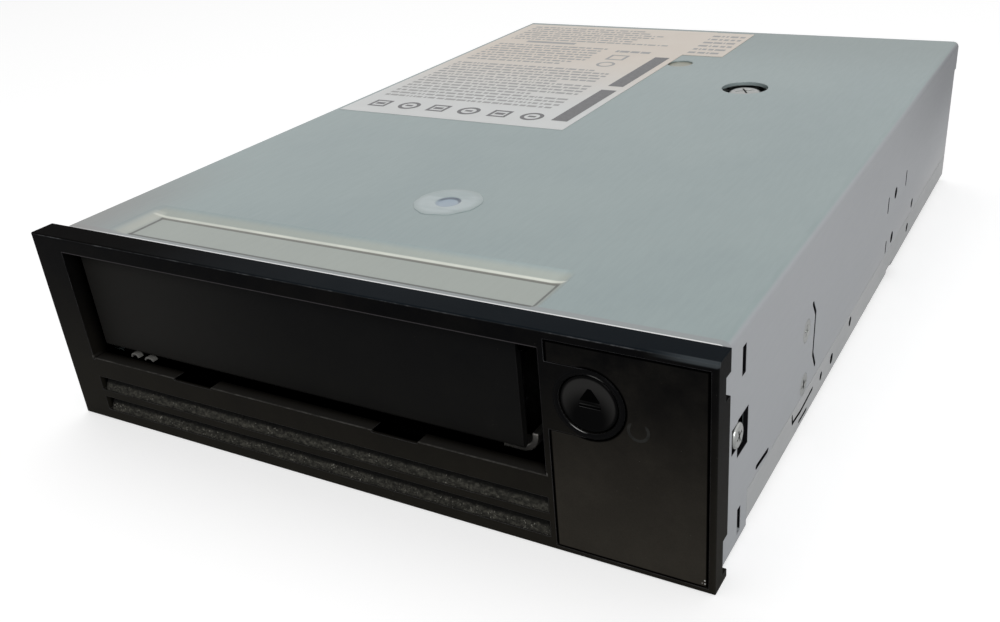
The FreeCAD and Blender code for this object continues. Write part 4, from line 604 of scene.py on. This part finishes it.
def pressed_panel_light(f):
    """Painted highlights on the flanks and painted shade along the creases of the panel pressed into the
    roof, over a warmer tint on its face.
    """
    across = f.axis(0)
    along = f.depth()
    roof = roof_mask(f)
    wide = f.within(across, PRESS_LEFT - 2.5, PRESS_RIGHT + 0.8, 1.2)
    deep = f.within(along, PRESS_FRONT + 0.2, PRESS_REAR + 2, 1.0)
    face = f.within(along, PRESS_FRONT - 0.8, PRESS_REAR + 0.5, 0.5)
    f.paint(f.product(wide, face, roof, 0.4), (0.41, 0.395, 0.325))
    run = f.within(across, PRESS_LEFT, PRESS_RIGHT, 0.8)
    short_run = f.within(across, PRESS_LEFT, PRESS_RIGHT - 0.4, 0.8)
    ends = f.within(along, PRESS_FRONT, PRESS_REAR, 0.8)
    # Painted shade along the creases at the foot and ends of the flanks.
    crease_shadows = [(f.within(along, PRESS_REAR + 0.1, PRESS_REAR + 0.6, 0.3), run),
               (f.within(along, PRESS_FRONT - 0.1, PRESS_FRONT + 0.8, 0.25), short_run),
               (f.within(across, PRESS_RIGHT + 0.1, PRESS_RIGHT + 0.6, 0.3), ends),
               (f.within(across, PRESS_LEFT - 0.2, PRESS_LEFT + 0.2, 0.3), ends)]
    for line, reach in crease_shadows:
        f.paint(f.product(line, reach, roof, 0.8), (0.06, 0.062, 0.06))
    # Painted highlights: a soft glow and a bright line on the rear flank, and a band on the left flank.
    glint = f.math("ADD", f.product(f.noise(9, detail=3), 0.5), 0.2)
    glow = f.within(along, PRESS_REAR + 1.6, PRESS_REAR + 2.6, 2.2)
    f.paint(f.product(glow, wide, roof, 0.3), (0.47, 0.445, 0.34))
    bright = f.within(along, PRESS_REAR + 0.9, PRESS_REAR + 1.3, 0.3)
    f.paint(f.product(bright, wide, roof, glint), (0.86, 0.86, 0.76))
    flank = f.within(across, PRESS_LEFT - 3.4, PRESS_LEFT - 1.4, 1.2)
    f.paint(f.product(flank, deep, roof, glint, 0.6), (0.62, 0.63, 0.56))


def roof_light_and_shade(f):
    """Painted light on the roof: a lighter strip and a painted highlight line behind the bezel, and painted
    shade over its front left and rear parts.
    """
    along = f.depth()
    roof = roof_mask(f)
    f.paint(f.product(f.within(along, 5.0, 8.9, 0.3), roof, 0.75), (0.268, 0.276, 0.282))
    # Painted highlight: a thin white line behind the bezel.
    f.paint(f.product(f.within(along, 5.0, 7.5, 0.12), roof, 0.75), (0.88, 0.88, 0.88))
    # Painted shade towards the front left and the rear.
    front_left = f.product(f.band(along, 60 * MM, 8 * MM), f.band(f.axis(0), -52 * MM, -72 * MM))
    f.paint(f.product(front_left, roof, 0.75), (0.232, 0.222, 0.215))
    f.paint(f.product(f.band(along, 155 * MM, 207 * MM), roof, 0.55), (0.195, 0.235, 0.232))


def side_light_and_shade(f):
    """Painted shade on the side walls towards the upper rear corner, and painted light towards the lower
    rear.
    """
    along = f.depth()
    level = f.axis(2)
    side = side_mask(f)
    rearward = f.band(along, 50 * MM, 190 * MM)
    f.paint(f.product(side, rearward, f.band(level, 20 * MM, 40 * MM), 0.5), (0.19, 0.2, 0.215))
    # Painted shade, duller and without metal sheen, in the upper rear corner.
    corner = f.product(side, f.band(along, 120 * MM, 206 * MM), f.band(level, 8 * MM, 37 * MM), 0.75)
    f.paint(corner, (0.15, 0.155, 0.17))
    f.shift("Metallic", corner, 0.0)
    f.shift("Specular IOR Level", corner, 0.1)
    f.paint(f.product(side, rearward, f.band(level, 18 * MM, 6 * MM), 0.4), (0.52, 0.51, 0.51))


cover_steel = sheet_steel("cover_steel", (0.287, 0.345, 0.345), (0.263, 0.321, 0.325))
for shade in (side_light_tint, pressed_panel_light, roof_light_and_shade, side_light_and_shade, shadowed_cuts):
    shade(cover_steel)
chassis_steel = sheet_steel("chassis_steel", (0.43, 0.435, 0.44), (0.38, 0.39, 0.395), rough=0.46)
shadowed_cuts(chassis_steel)
bezel_black = black_plastic("bezel_black", (0.0012, 0.0013, 0.0018), (0.015, 0.0135, 0.0105), 0.48, 0.022,
                            edge_light=(0.085, 0.085, 0.09))
ring_relief(bezel_black)
top_light_and_nicks(bezel_black)
dark_inside(bezel_black)
door_black = black_plastic("door_black", (0.0035, 0.0036, 0.004), (0.0105, 0.0102, 0.0092), 0.5, 0.03,
                           texture=0.02, edge_light=(0.03, 0.03, 0.03))
lighter_left(door_black)
panel_black = black_plastic("panel_black", (0.0008, 0.0009, 0.0013), (0.035, 0.0312, 0.025), 0.48, 0.022,
                            edge_light=(0.03, 0.03, 0.03))
panel_outline(panel_black)
button_black = black_plastic("button_black", (0.0012, 0.0012, 0.0013), (0.0014, 0.0014, 0.0014), 0.24, 0.025,
                             texture=0.002, edge_light=(0.06, 0.06, 0.065))
key_sheen(button_black)
symbol_black = symbol_finish()
amber_film = amber_finish()
mark_grey = mark_finish()
cast_aluminium = bright_metal("cast_aluminium", (0.5, 0.5, 0.49), 0.5, grain=0.6)
deck_cast = bright_metal("deck_cast", (0.5, 0.5, 0.49), 0.5, grain=0.6)
deck_shadow(deck_cast)
screw_zinc = bright_metal("screw_zinc", (0.4, 0.41, 0.4), 0.3, grain=0.5)
bright_steel = bright_metal("bright_steel", (0.72, 0.72, 0.7), 0.22, grain=0.3)
tray_steel = bright_metal("tray_steel", (0.55, 0.55, 0.54), 0.32, grain=0.8, stretch=(1, 0.1, 1))
tray_shadow(tray_steel)
lip_steel = bright_metal("lip_steel", (0.31, 0.3, 0.28), 0.38, grain=1.5)
spring_steel = bright_metal("spring_steel", (0.4, 0.39, 0.37), 0.3, grain=0.2)
motor_steel = bright_metal("motor_steel", (0.46, 0.46, 0.47), 0.34, grain=0.5, stretch=(1, 1, 0.15))
gear_plastic = moulded("gear_plastic", (0.62, 0.6, 0.53))
reel_plastic = moulded("reel_plastic", (0.05, 0.05, 0.055), rough=0.35)
connector_plastic = moulded("connector_plastic", (0.014, 0.014, 0.015), rough=0.38)
head_ceramic = moulded("head_ceramic", (0.2, 0.19, 0.17), rough=0.16, specular=0.7)
clip_grey = moulded("clip_grey", (0.13, 0.128, 0.12), rough=0.6, specular=0.1)
ribbon = moulded("ribbon", (0.5, 0.3, 0.08), rough=0.3)
foam = foam_finish()
circuit_board = board_finish()
chip = chip_finish()
winding = winding_finish()
lamp = lamp_finish()
label_white = label_finish("label_white", (0.63, 0.64, 0.635))
label_print = print_finish("label_print", (0.26, 0.26, 0.26), (0.43, 0.425, 0.42))
mark_print = print_finish("mark_print", (0.1, 0.1, 0.105), (0.19, 0.19, 0.195))
seal_film = seal_finish()
gold = bright_metal("contact_gold", (0.83, 0.58, 0.2), 0.25, grain=0.3)

FINISHES = {
    cover_steel: ["top_cover"],
    chassis_steel: ["chassis_base", "head_bracket"],
    cast_aluminium: ["head_carriage", "threader_arm", "threader_bridge"],
    deck_cast: ["deck_frame"],
    screw_zinc: ["pan_head_screws", "flat_head_screws", "board_screws"],
    bezel_black: ["bezel"],
    door_black: ["cartridge_door"],
    panel_black: ["control_panel"],
    bright_steel: ["guide_studs", "door_pins", "tray_pins", "sync_shaft", "threader_post", "roller_posts",
                   "head_guide_rods", "lead_screw", "guide_roller_1", "guide_roller_2", "guide_roller_3",
                   "guide_roller_4"],
    tray_steel: ["loader_carriage", "right_cam_plate", "left_cam_plate", "cartridge_tray"],
    spring_steel: ["door_spring", "button_spring"],
    motor_steel: ["loader_motor", "supply_rotor", "takeup_rotor", "threader_motor", "head_stepper"],
    gear_plastic: ["sync_gears", "reduction_gear", "loader_pinion", "threader_pinion", "supply_clutch"],
    reel_plastic: ["takeup_reel", "leader_block"],
    head_ceramic: ["head_block"],
    winding: ["supply_stator", "takeup_stator"],
    circuit_board: ["main_board", "panel_board"],
    chip: ["board_chips", "eject_switch"],
    connector_plastic: ["data_power_connector", "service_connector"],
    ribbon: ["panel_ribbon"],
    lamp: ["status_leds"],
    foam: ["lower_filter_foam", "upper_filter_foam"],
    label_white: ["spec_label"],
    seal_film: ["hole_seal"],
    button_black: ["eject_button"],
}
for finish, names in FINISHES.items():
    for name in names:
        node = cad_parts[name]
        if not node.material_slots:
            node.data.materials.append(finish.mat)
        for material_slot in node.material_slots:
            material_slot.material = finish.mat


# ---------------------------------------------------------------- mesh helpers
def piece(name, mesh, finish, body):
    """A new object in world metres that rides on a body."""
    mesh.materials.append(finish.mat)
    obj = bpy.data.objects.new(name, mesh)
    bpy.context.scene.collection.objects.link(obj)
    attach(obj, body)
    return obj


def mesh_of(name, bm, smooth=True):
    bmesh.ops.recalc_face_normals(bm, faces=bm.faces)
    mesh = bpy.data.meshes.new(name)
    bm.to_mesh(mesh)
    bm.free()
    for polygon in mesh.polygons:
        polygon.use_smooth = smooth
    return mesh


def turned(bm, profile, steps, frame_of):
    """Revolves (radius, height) pairs, in metres, about the third axis of a placing matrix."""
    rings = []
    for radius, height in profile:
        if radius < 1e-7:
            rings.append([bm.verts.new(frame_of @ Vector((0, 0, height)))])
            continue
        ring = []
        for step in range(steps):
            angle = 2 * math.pi * step / steps
            point = Vector((radius * math.cos(angle), radius * math.sin(angle), height))
            ring.append(bm.verts.new(frame_of @ point))
        rings.append(ring)
    for low, high in zip(rings, rings[1:]):
        for step in range(steps):
            after = (step + 1) % steps
            corners = [low[step % len(low)], low[after % len(low)],
                       high[after % len(high)], high[step % len(high)]]
            unique = list(dict.fromkeys(corners))
            if len(unique) > 2:
                bm.faces.new(unique)


def prism(bm, outline, depth, frame_of):
    """Extrudes a closed outline of (x, y) points, in metres, along +z of a placing matrix."""
    bottom = [bm.verts.new(frame_of @ Vector((x, y, 0))) for x, y in outline]
    top = [bm.verts.new(frame_of @ Vector((x, y, depth))) for x, y in outline]
    bm.faces.new(bottom)
    bm.faces.new(top)
    for index in range(len(outline)):
        after = (index + 1) % len(outline)
        bm.faces.new([bottom[index], bottom[after], top[after], top[index]])


def bevelled(obj, width, segments=3):
    """Rounds every edge of a piece over 30 degrees."""
    modifier = obj.modifiers.new("edges", "BEVEL")
    modifier.width = width * MM
    modifier.segments = segments
    modifier.limit_method = "ANGLE"
    modifier.harden_normals = True
    return obj


# ---------------------------------------------------------------- eject button
# local x, y, z become world x, z and -y, so that heights grow out of the bezel
OUTWARD = Matrix(((1, 0, 0), (0, 0, -1), (0, 1, 0))).to_4x4()
BUTTON_FRONT = Vector((BUTTON.x, BUTTON_LOW.y, BUTTON.z))
BUTTON_PLACE = Matrix.Translation(BUTTON_FRONT) @ OUTWARD


def button_cap():
    """Round key with a rolled rim and a dished face, and its flange and stem behind."""
    depth = (BUTTON_HIGH.y - BUTTON_LOW.y) / MM
    profile = [(0.0, -0.62), (1.6, -0.58), (2.9, -0.45), (3.8, -0.28), (4.4, -0.1), (4.75, 0.0), (5.0, -0.08),
               (5.15, -0.28), (5.2, -0.6), (5.2, -2.45), (5.25, -2.55), (6.0, -2.6), (6.0, -3.1),
               (5.9, -3.15), (1.4, -3.15), (1.4, -depth), (0.0, -depth)]
    bm = bmesh.new()
    turned(bm, [(radius * MM, height * MM) for radius, height in profile], 96, BUTTON_PLACE)
    return mesh_of("button_cap", bm)


def dish_level(x, z):
    """Height of the dished face at this offset from the button's centre, in millimetres."""
    return -0.62 + 0.034 * (x * x + z * z)


def button_symbol():
    """Raised eject mark: a triangle over a bar, following the dish."""
    bm = bmesh.new()
    apex = [(-1.75, 0.3), (1.75, 0.3), (0.3, 2.55), (-0.3, 2.55)]
    bar = [(-1.85, -0.95), (1.85, -0.95), (1.85, -0.3), (-1.85, -0.3)]
    for outline in (apex, bar):
        place = BUTTON_PLACE @ Matrix.Translation((0, 0, (dish_level(0, 1) - 0.12) * MM))
        prism(bm, [(x * MM, z * MM) for x, z in outline], 0.34 * MM, place)
    return mesh_of("button_symbol", bm, smooth=False)


key = piece("eject_key", button_cap(), button_black, "button")
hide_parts("eject_button")
bevelled(piece("eject_mark", button_symbol(), symbol_black, "button"), 0.09)


# ---------------------------------------------------------------- control panel's faint mark
def panel_mark():
    """Open ring moulded into the panel, standing off its face by a hair."""
    bm = bmesh.new()
    centre = Vector((61.3 * MM, PANEL_LOW.y + 0.002 * MM, 28.6 * MM))
    steps = 40
    sides = 8
    rings = []
    for step in range(steps + 1):
        angle = math.radians(125 + 290 * step / steps)
        out = Vector((math.cos(angle), 0, math.sin(angle)))
        thick = 0.3 * MM * math.sin(math.pi * min(1.0, max(0.06, min(step, steps - step) / 4.0)) / 2)
        ring = []
        for side in range(sides):
            turn = 2 * math.pi * side / sides
            ring.append(bm.verts.new(centre + out * (1.7 * MM + thick * math.cos(turn))
                                     + Vector((0, 0.02, 0)) * thick * math.sin(turn)))
        rings.append(ring)
    for low, high in zip(rings, rings[1:]):
        for side in range(sides):
            after = (side + 1) % sides
            bm.faces.new([low[side], low[after], high[after], high[side]])
    bm.faces.new(rings[0])
    bm.faces.new(rings[-1])
    return mesh_of("panel_mark", bm)


piece("panel_mark", panel_mark(), mark_grey, "housing")


# ---------------------------------------------------------------- tray lip and clips under the door
def strip_along(bm, path, thick, y0, y1):
    """Sheet of this thickness along (x, z) points, as deep as y0 to y1, all in millimetres."""
    front = BEZEL_LOW.y
    sides = []
    for index, (x, z) in enumerate(path):
        before = path[max(0, index - 1)]
        after = path[min(len(path) - 1, index + 1)]
        run = Vector((after[0] - before[0], after[1] - before[1])).normalized()
        across = Vector((-run.y, run.x)) * thick / 2
        sides.append(((x + across.x, z + across.y), (x - across.x, z - across.y)))
    loops = []
    for upper, lower in sides:
        loops.append([bm.verts.new((px * MM, front + y * MM, pz * MM))
                      for (px, pz), y in ((upper, y0), (lower, y0), (lower, y1), (upper, y1))])
    for low, high in zip(loops, loops[1:]):
        for side in range(4):
            after = (side + 1) % 4
            bm.faces.new([low[side], low[after], high[after], high[side]])
    bm.faces.new(loops[0])
    bm.faces.new(loops[-1])


def tray_lip():
    """Rounded front corner of the tray under the door's right end, its feet, and the wall edge beside it."""
    bend = 2.8
    path = [(32.6, 15.7), (36.4, 15.6)]
    for step in range(1, 9):
        angle = math.pi / 2 * step / 8
        path.append((36.4 + bend * math.sin(angle), 15.6 + bend * (1 - math.cos(angle))))
    path.append((39.2, 19.2))
    bm = bmesh.new()
    strip_along(bm, path, 1.3, 5.65, 9.2)
    for foot in (33.6, 37.2):
        strip_along(bm, [(foot, 14.6), (foot, 15.1)], 0.9, 8.2, 9.2)
    strip_along(bm, [(43.2, 15.0), (43.2, 16.6), (43.0, 17.8)], 0.6, 5.65, 8.0)
    return mesh_of("tray_lip", bm)


def sill_clips():
    """Two short sprung clips on the sill, under the door's left end."""
    bm = bmesh.new()
    for left, wide, rise in ((-58.9, 2.2, 0.9), (-54.9, 2.5, 0.7)):
        path = [(left, 15.15), (left + wide * 0.2, 15.15 + rise * 0.8), (left + wide * 0.5, 15.15 + rise),
                (left + wide * 0.8, 15.15 + rise * 0.85), (left + wide, 15.2)]
        strip_along(bm, path, 0.45, 3.9, 5.3)
    return mesh_of("sill_clips", bm)


bevelled(piece("tray_lip", tray_lip(), lip_steel, "tray"), 0.3)
bevelled(piece("sill_clips", sill_clips(), clip_grey, "housing"), 0.15)


# ---------------------------------------------------------------- filter foam
def foam_strip(name):
    """Foam strip that bulges out towards the lower lip, its face torn open cell by cell."""
    low, high = span(name)
    low.x += 1.1 * MM
    low.y = BEZEL_LOW.y
    step = 0.28 * MM
    columns = int((high.x - low.x) / step)
    rows = int((high.z - low.z) / step)
    bm = bmesh.new()
    front = []
    for row in range(rows + 1):
        z = low.z + (high.z - low.z) * row / rows
        line = []
        for column in range(columns + 1):
            x = low.x + (high.x - low.x) * column / columns
            near = noise.voronoi(Vector((x, 0.0, z)) / (0.9 * MM))[0]
            pit = max(0.0, 0.55 - near[0]) * 1.1
            ragged = 0.5 + 0.5 * noise.noise(Vector((x, 3.0, z)) / (0.45 * MM))
            inner = 0 < row < rows and 0 < column < columns
            lean = 0.04 + 1.9 * (row / rows) ** 2
            depth = lean + (0.02 + pit * 0.45 + ragged * 0.4 if inner else 0.05)
            line.append(bm.verts.new((x, low.y + depth * MM, z)))
        front.append(line)
    for low_line, high_line in zip(front, front[1:]):
        for column in range(columns):
            bm.faces.new([low_line[column], low_line[column + 1], high_line[column + 1], high_line[column]])
    right_side = [line[-1] for line in front[1:]]
    left_side = [line[0] for line in front[-2:0:-1]]
    rim = front[0] + right_side + front[-1][-2::-1] + left_side
    back = [bm.verts.new((v.co.x, high.y, v.co.z)) for v in rim]
    for index in range(len(rim)):
        after = (index + 1) % len(rim)
        bm.faces.new([rim[index], rim[after], back[after], back[index]])
    bm.faces.new(back)
    return mesh_of(name + "_cells", bm)


for name in ("lower_filter_foam", "upper_filter_foam"):
    strip = piece(name + "_cells", foam_strip(name), foam, "housing")
    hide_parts(name)


# ---------------------------------------------------------------- label printing
PRINT_LIFT = 0.015 * MM


def printed(bm, x0, x1, y0, y1):
    """Flat rectangle of ink on the label, in millimetres of x and of y from the front."""
    z = LABEL_HIGH.z + PRINT_LIFT
    front = BEZEL_LOW.y
    corners = [(x0, y0), (x1, y0), (x1, y1), (x0, y1)]
    bm.faces.new([bm.verts.new((x * MM, front + y * MM, z)) for x, y in corners])


def text_line(bm, dice, x0, x1, y, height):
    """Row of short bars that stands for a line of small print."""
    x = x0
    while x < x1 - 1.0:
        width = min(dice.uniform(0.5, 3.4), x1 - x)
        printed(bm, x, x + width, y, y + height)
        x += width + dice.uniform(0.35, 0.8)


def ring_mark(bm, x, y, radius, wide):
    """Printed ring, in millimetres."""
    z = LABEL_HIGH.z + PRINT_LIFT
    steps = 28
    inner = []
    outer = []
    for step in range(steps):
        angle = 2 * math.pi * step / steps
        out = Vector((math.cos(angle), math.sin(angle), 0))
        centre = Vector((x * MM, BEZEL_LOW.y + y * MM, z))
        inner.append(bm.verts.new(centre + out * (radius - wide) * MM))
        outer.append(bm.verts.new(centre + out * radius * MM))
    for step in range(steps):
        after = (step + 1) % steps
        bm.faces.new([inner[step], inner[after], outer[after], outer[step]])


def square_mark(bm, x, y, half, wide):
    """Printed square outline, in millimetres."""
    printed(bm, x - half, x + half, y - half, y - half + wide)
    printed(bm, x - half, x + half, y + half - wide, y + half)
    printed(bm, x - half, x - half + wide, y - half + wide, y + half - wide)
    printed(bm, x + half - wide, x + half, y - half + wide, y + half - wide)


def label_printing():
    """Bars, a ring and a square that stand for the label's small print."""
    dice = random.Random(7)
    bm = bmesh.new()
    left = LABEL_LOW.x / MM + 3.5
    for row in range(15):
        reach = -12.5 - dice.uniform(0, 14) if row % 5 == 4 else -12.5
        text_line(bm, dice, left, reach, 113.5 + row * 2.75, 1.35)
    for row in range(8):
        text_line(bm, dice, left, -25.0 - dice.uniform(0, 10), 157.5 + row * 2.9, 1.35)
    ring_mark(bm, -19.5, 160.5, 2.9, 0.9)
    square_mark(bm, -19.5, 169.0, 3.0, 0.9)
    text_line(bm, dice, -23.5, -11.0, 175.5, 2.2)
    printed(bm, left + 8, left + 26, 182.0, 184.2)
    for row in range(7):
        text_line(bm, dice, left, -7.0 - dice.uniform(0, 20), 186.0 + row * 2.9, 1.3)
    for row in range(6):
        text_line(bm, dice, -1.0, 9.8, 179.5 + row * 4.4, 1.9)
    return mesh_of("label_printing", bm, smooth=False)


def label_marks():
    """Row of rings and squares along the label's front edge and two bars beside the text, in darker ink."""
    bm = bmesh.new()
    for y0, y1 in ((104.0, 134.0), (138.0, 172.0)):
        printed(bm, -8.2, -3.6, y0, y1)
    left = LABEL_LOW.x / MM + 8.0
    row = 105.6
    for mark in range(6):
        x = left + mark * 9.6
        if mark % 2:
            ring_mark(bm, x, row, 3.2, 1.1)
            printed(bm, x - 1.1, x + 1.1, row - 0.6, row + 0.6)
        else:
            square_mark(bm, x, row, 2.8, 0.9)
            printed(bm, x - 1.4, x + 1.4, row - 0.8, row + 0.8)
    return mesh_of("label_marks", bm, smooth=False)


piece("label_printing", label_printing(), label_print, "housing")
piece("label_marks", label_marks(), mark_print, "housing")


# ---------------------------------------------------------------- roof seal
def seal_disc():
    """Film disc with a soft edge, pressed down into the hole under it."""
    bm = bmesh.new()
    top = 0.52 * MM
    outer = 7.4 * MM
    film = 0.12 * MM
    profile = [(0.0, 0.1 * MM), (1.2 * MM, 0.1 * MM), (2.0 * MM, 0.16 * MM), (2.5 * MM, top * 0.62),
               (2.9 * MM, top * 0.96), (3.3 * MM, top), (outer - 0.3 * MM, top),
               (outer - 0.06 * MM, top - 0.02 * MM), (outer, top - film), (2.75 * MM, top - film),
               (2.5 * MM, top * 0.5), (2.3 * MM, 0.0), (0.0, 0.0)]
    turned(bm, profile, 96, Matrix.Translation((SEAL.x, SEAL.y, SEAL_TOP - top)))
    for vertex in bm.verts:
        arm = Vector((vertex.co.x - SEAL.x, vertex.co.y - SEAL.y, 0))
        if arm.length > 6 * MM:
            vertex.co += arm * 0.05 * noise.noise(arm.normalized() * 2.4)
    return mesh_of("seal_disc", bm)


def label_film():
    """Amber film set a little below the roof in the hole beside the label."""
    bm = bmesh.new()
    sag = [(0.0, -0.62), (1.8, -0.58), (3.0, -0.48), (3.68, -0.36), (3.68, -0.5), (0.0, -0.76)]
    place = Matrix.Translation((1.8 * MM, COVER_HIGH.y - 43.5 * MM, COVER_HIGH.z))
    turned(bm, [(radius * MM, height * MM) for radius, height in sag], 64, place)
    return mesh_of("label_film", bm)


disc = piece("seal_disc", seal_disc(), seal_film, "housing")
film = piece("label_film", label_film(), amber_film, "housing")
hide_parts("hole_seal")


# ---------------------------------------------------------------- rear connectors
def contacts(node, pitch, margin):
    """Gold fingers on both faces of a connector's tongue."""
    low, high = span(node)
    count = int((high.x - low.x - 2 * margin * MM) / (pitch * MM))
    tongue_low = low.z + 2.8 * MM
    tongue_high = low.z + 4.2 * MM
    bm = bmesh.new()
    for level in (tongue_low - 0.05 * MM, tongue_high - 0.03 * MM):
        for index in range(count):
            x = low.x + (margin + pitch * index) * MM
            place = Matrix.Translation((x, high.y - 5.6 * MM, level))
            width = pitch * 0.55 * MM
            prism(bm, [(0, 0), (width, 0), (width, 4.2 * MM), (0, 4.2 * MM)], 0.08 * MM, place)
    return mesh_of(node + "_contacts", bm, smooth=False)


for name, pitch, margin in (("data_power_connector", 1.27, 4.2), ("service_connector", 1.0, 3.2)):
    piece(name + "_contacts", contacts(name, pitch, margin), gold, "housing")


# ---------------------------------------------------------------- floor, light and camera
FLOOR_LIFT = 0.38         # glow added to the floor where the camera sees it
AMBIENT = 0.5             # strength of the white surroundings as a light


def stage_floor():
    bm = bmesh.new()
    bmesh.ops.create_grid(bm, x_segments=8, y_segments=8, size=3.0)
    mesh = mesh_of("floor", bm)
    mat = bpy.data.materials.new("floor_paper")
    mat.use_nodes = True
    tree = mat.node_tree
    paper = tree.nodes["Principled BSDF"]
    paper.inputs["Base Color"].default_value = (0.82, 0.82, 0.82, 1)
    paper.inputs["Roughness"].default_value = 0.9
    paper.inputs["Specular IOR Level"].default_value = 0.0
    glow = tree.nodes.new("ShaderNodeEmission")
    path = tree.nodes.new("ShaderNodeLightPath")
    lift = tree.nodes.new("ShaderNodeMath")
    lift.operation = "MULTIPLY"
    lift.inputs[1].default_value = FLOOR_LIFT
    tree.links.new(path.outputs["Is Camera Ray"], lift.inputs[0])
    tree.links.new(lift.outputs[0], glow.inputs["Strength"])
    total = tree.nodes.new("ShaderNodeAddShader")
    tree.links.new(paper.outputs[0], total.inputs[0])
    tree.links.new(glow.outputs[0], total.inputs[1])
    tree.links.new(total.outputs[0], tree.nodes["Material Output"].inputs["Surface"])
    mesh.materials.append(mat)
    obj = bpy.data.objects.new("floor", mesh)
    bpy.context.scene.collection.objects.link(obj)


def studio_world():
    """White to the camera and in reflections, and a softer level for the light itself."""
    world = bpy.data.worlds.new("studio")
    bpy.context.scene.world = world
    world.use_nodes = True
    tree = world.node_tree
    backdrop = tree.nodes["Background"]
    backdrop.inputs["Color"].default_value = (1, 1, 1, 1)
    path = tree.nodes.new("ShaderNodeLightPath")
    seen = tree.nodes.new("ShaderNodeMath")
    seen.operation = "MAXIMUM"
    tree.links.new(path.outputs["Is Camera Ray"], seen.inputs[0])
    tree.links.new(path.outputs["Is Glossy Ray"], seen.inputs[1])
    either = tree.nodes.new("ShaderNodeMath")
    either.operation = "MAXIMUM"
    tree.links.new(seen.outputs[0], either.inputs[0])
    tree.links.new(path.outputs["Is Transmission Ray"], either.inputs[1])
    level = tree.nodes.new("ShaderNodeMapRange")
    level.inputs["To Min"].default_value = AMBIENT
    level.inputs["To Max"].default_value = 1.0
    tree.links.new(either.outputs[0], level.inputs["Value"])
    tree.links.new(level.outputs["Result"], backdrop.inputs["Strength"])


def softbox(name, place, aim, size, power):
    light = bpy.data.lights.new(name, "AREA")
    light.shape = "DISK"
    light.size = size
    light.energy = power
    obj = bpy.data.objects.new(name, light)
    bpy.context.scene.collection.objects.link(obj)
    obj.location = place
    obj.rotation_euler = (Vector(aim) - Vector(place)).to_track_quat("-Z", "Y").to_euler()


def camera():
    lens = bpy.data.cameras.new("camera")
    lens.sensor_width = 36.0
    lens.lens = 37.53
    lens.shift_x = -0.048
    lens.shift_y = 0.0372
    lens.clip_start = 0.01
    obj = bpy.data.objects.new("camera", lens)
    bpy.context.scene.collection.objects.link(obj)
    obj.location = (0.11759, -0.22874, 0.11763)
    obj.rotation_euler = [math.radians(angle) for angle in (61.485, 3.596, 28.051)]
    bpy.context.scene.camera = obj


stage_floor()
studio_world()
softbox("key", (0.75, -0.95, 0.8), (0, 0, 0.02), 0.5, 9.0)
softbox("top", (-0.35, 0.35, 1.2), (0, 0, 0.02), 0.8, 2.0)
camera()
bpy.context.scene.view_settings.view_transform = "Standard"
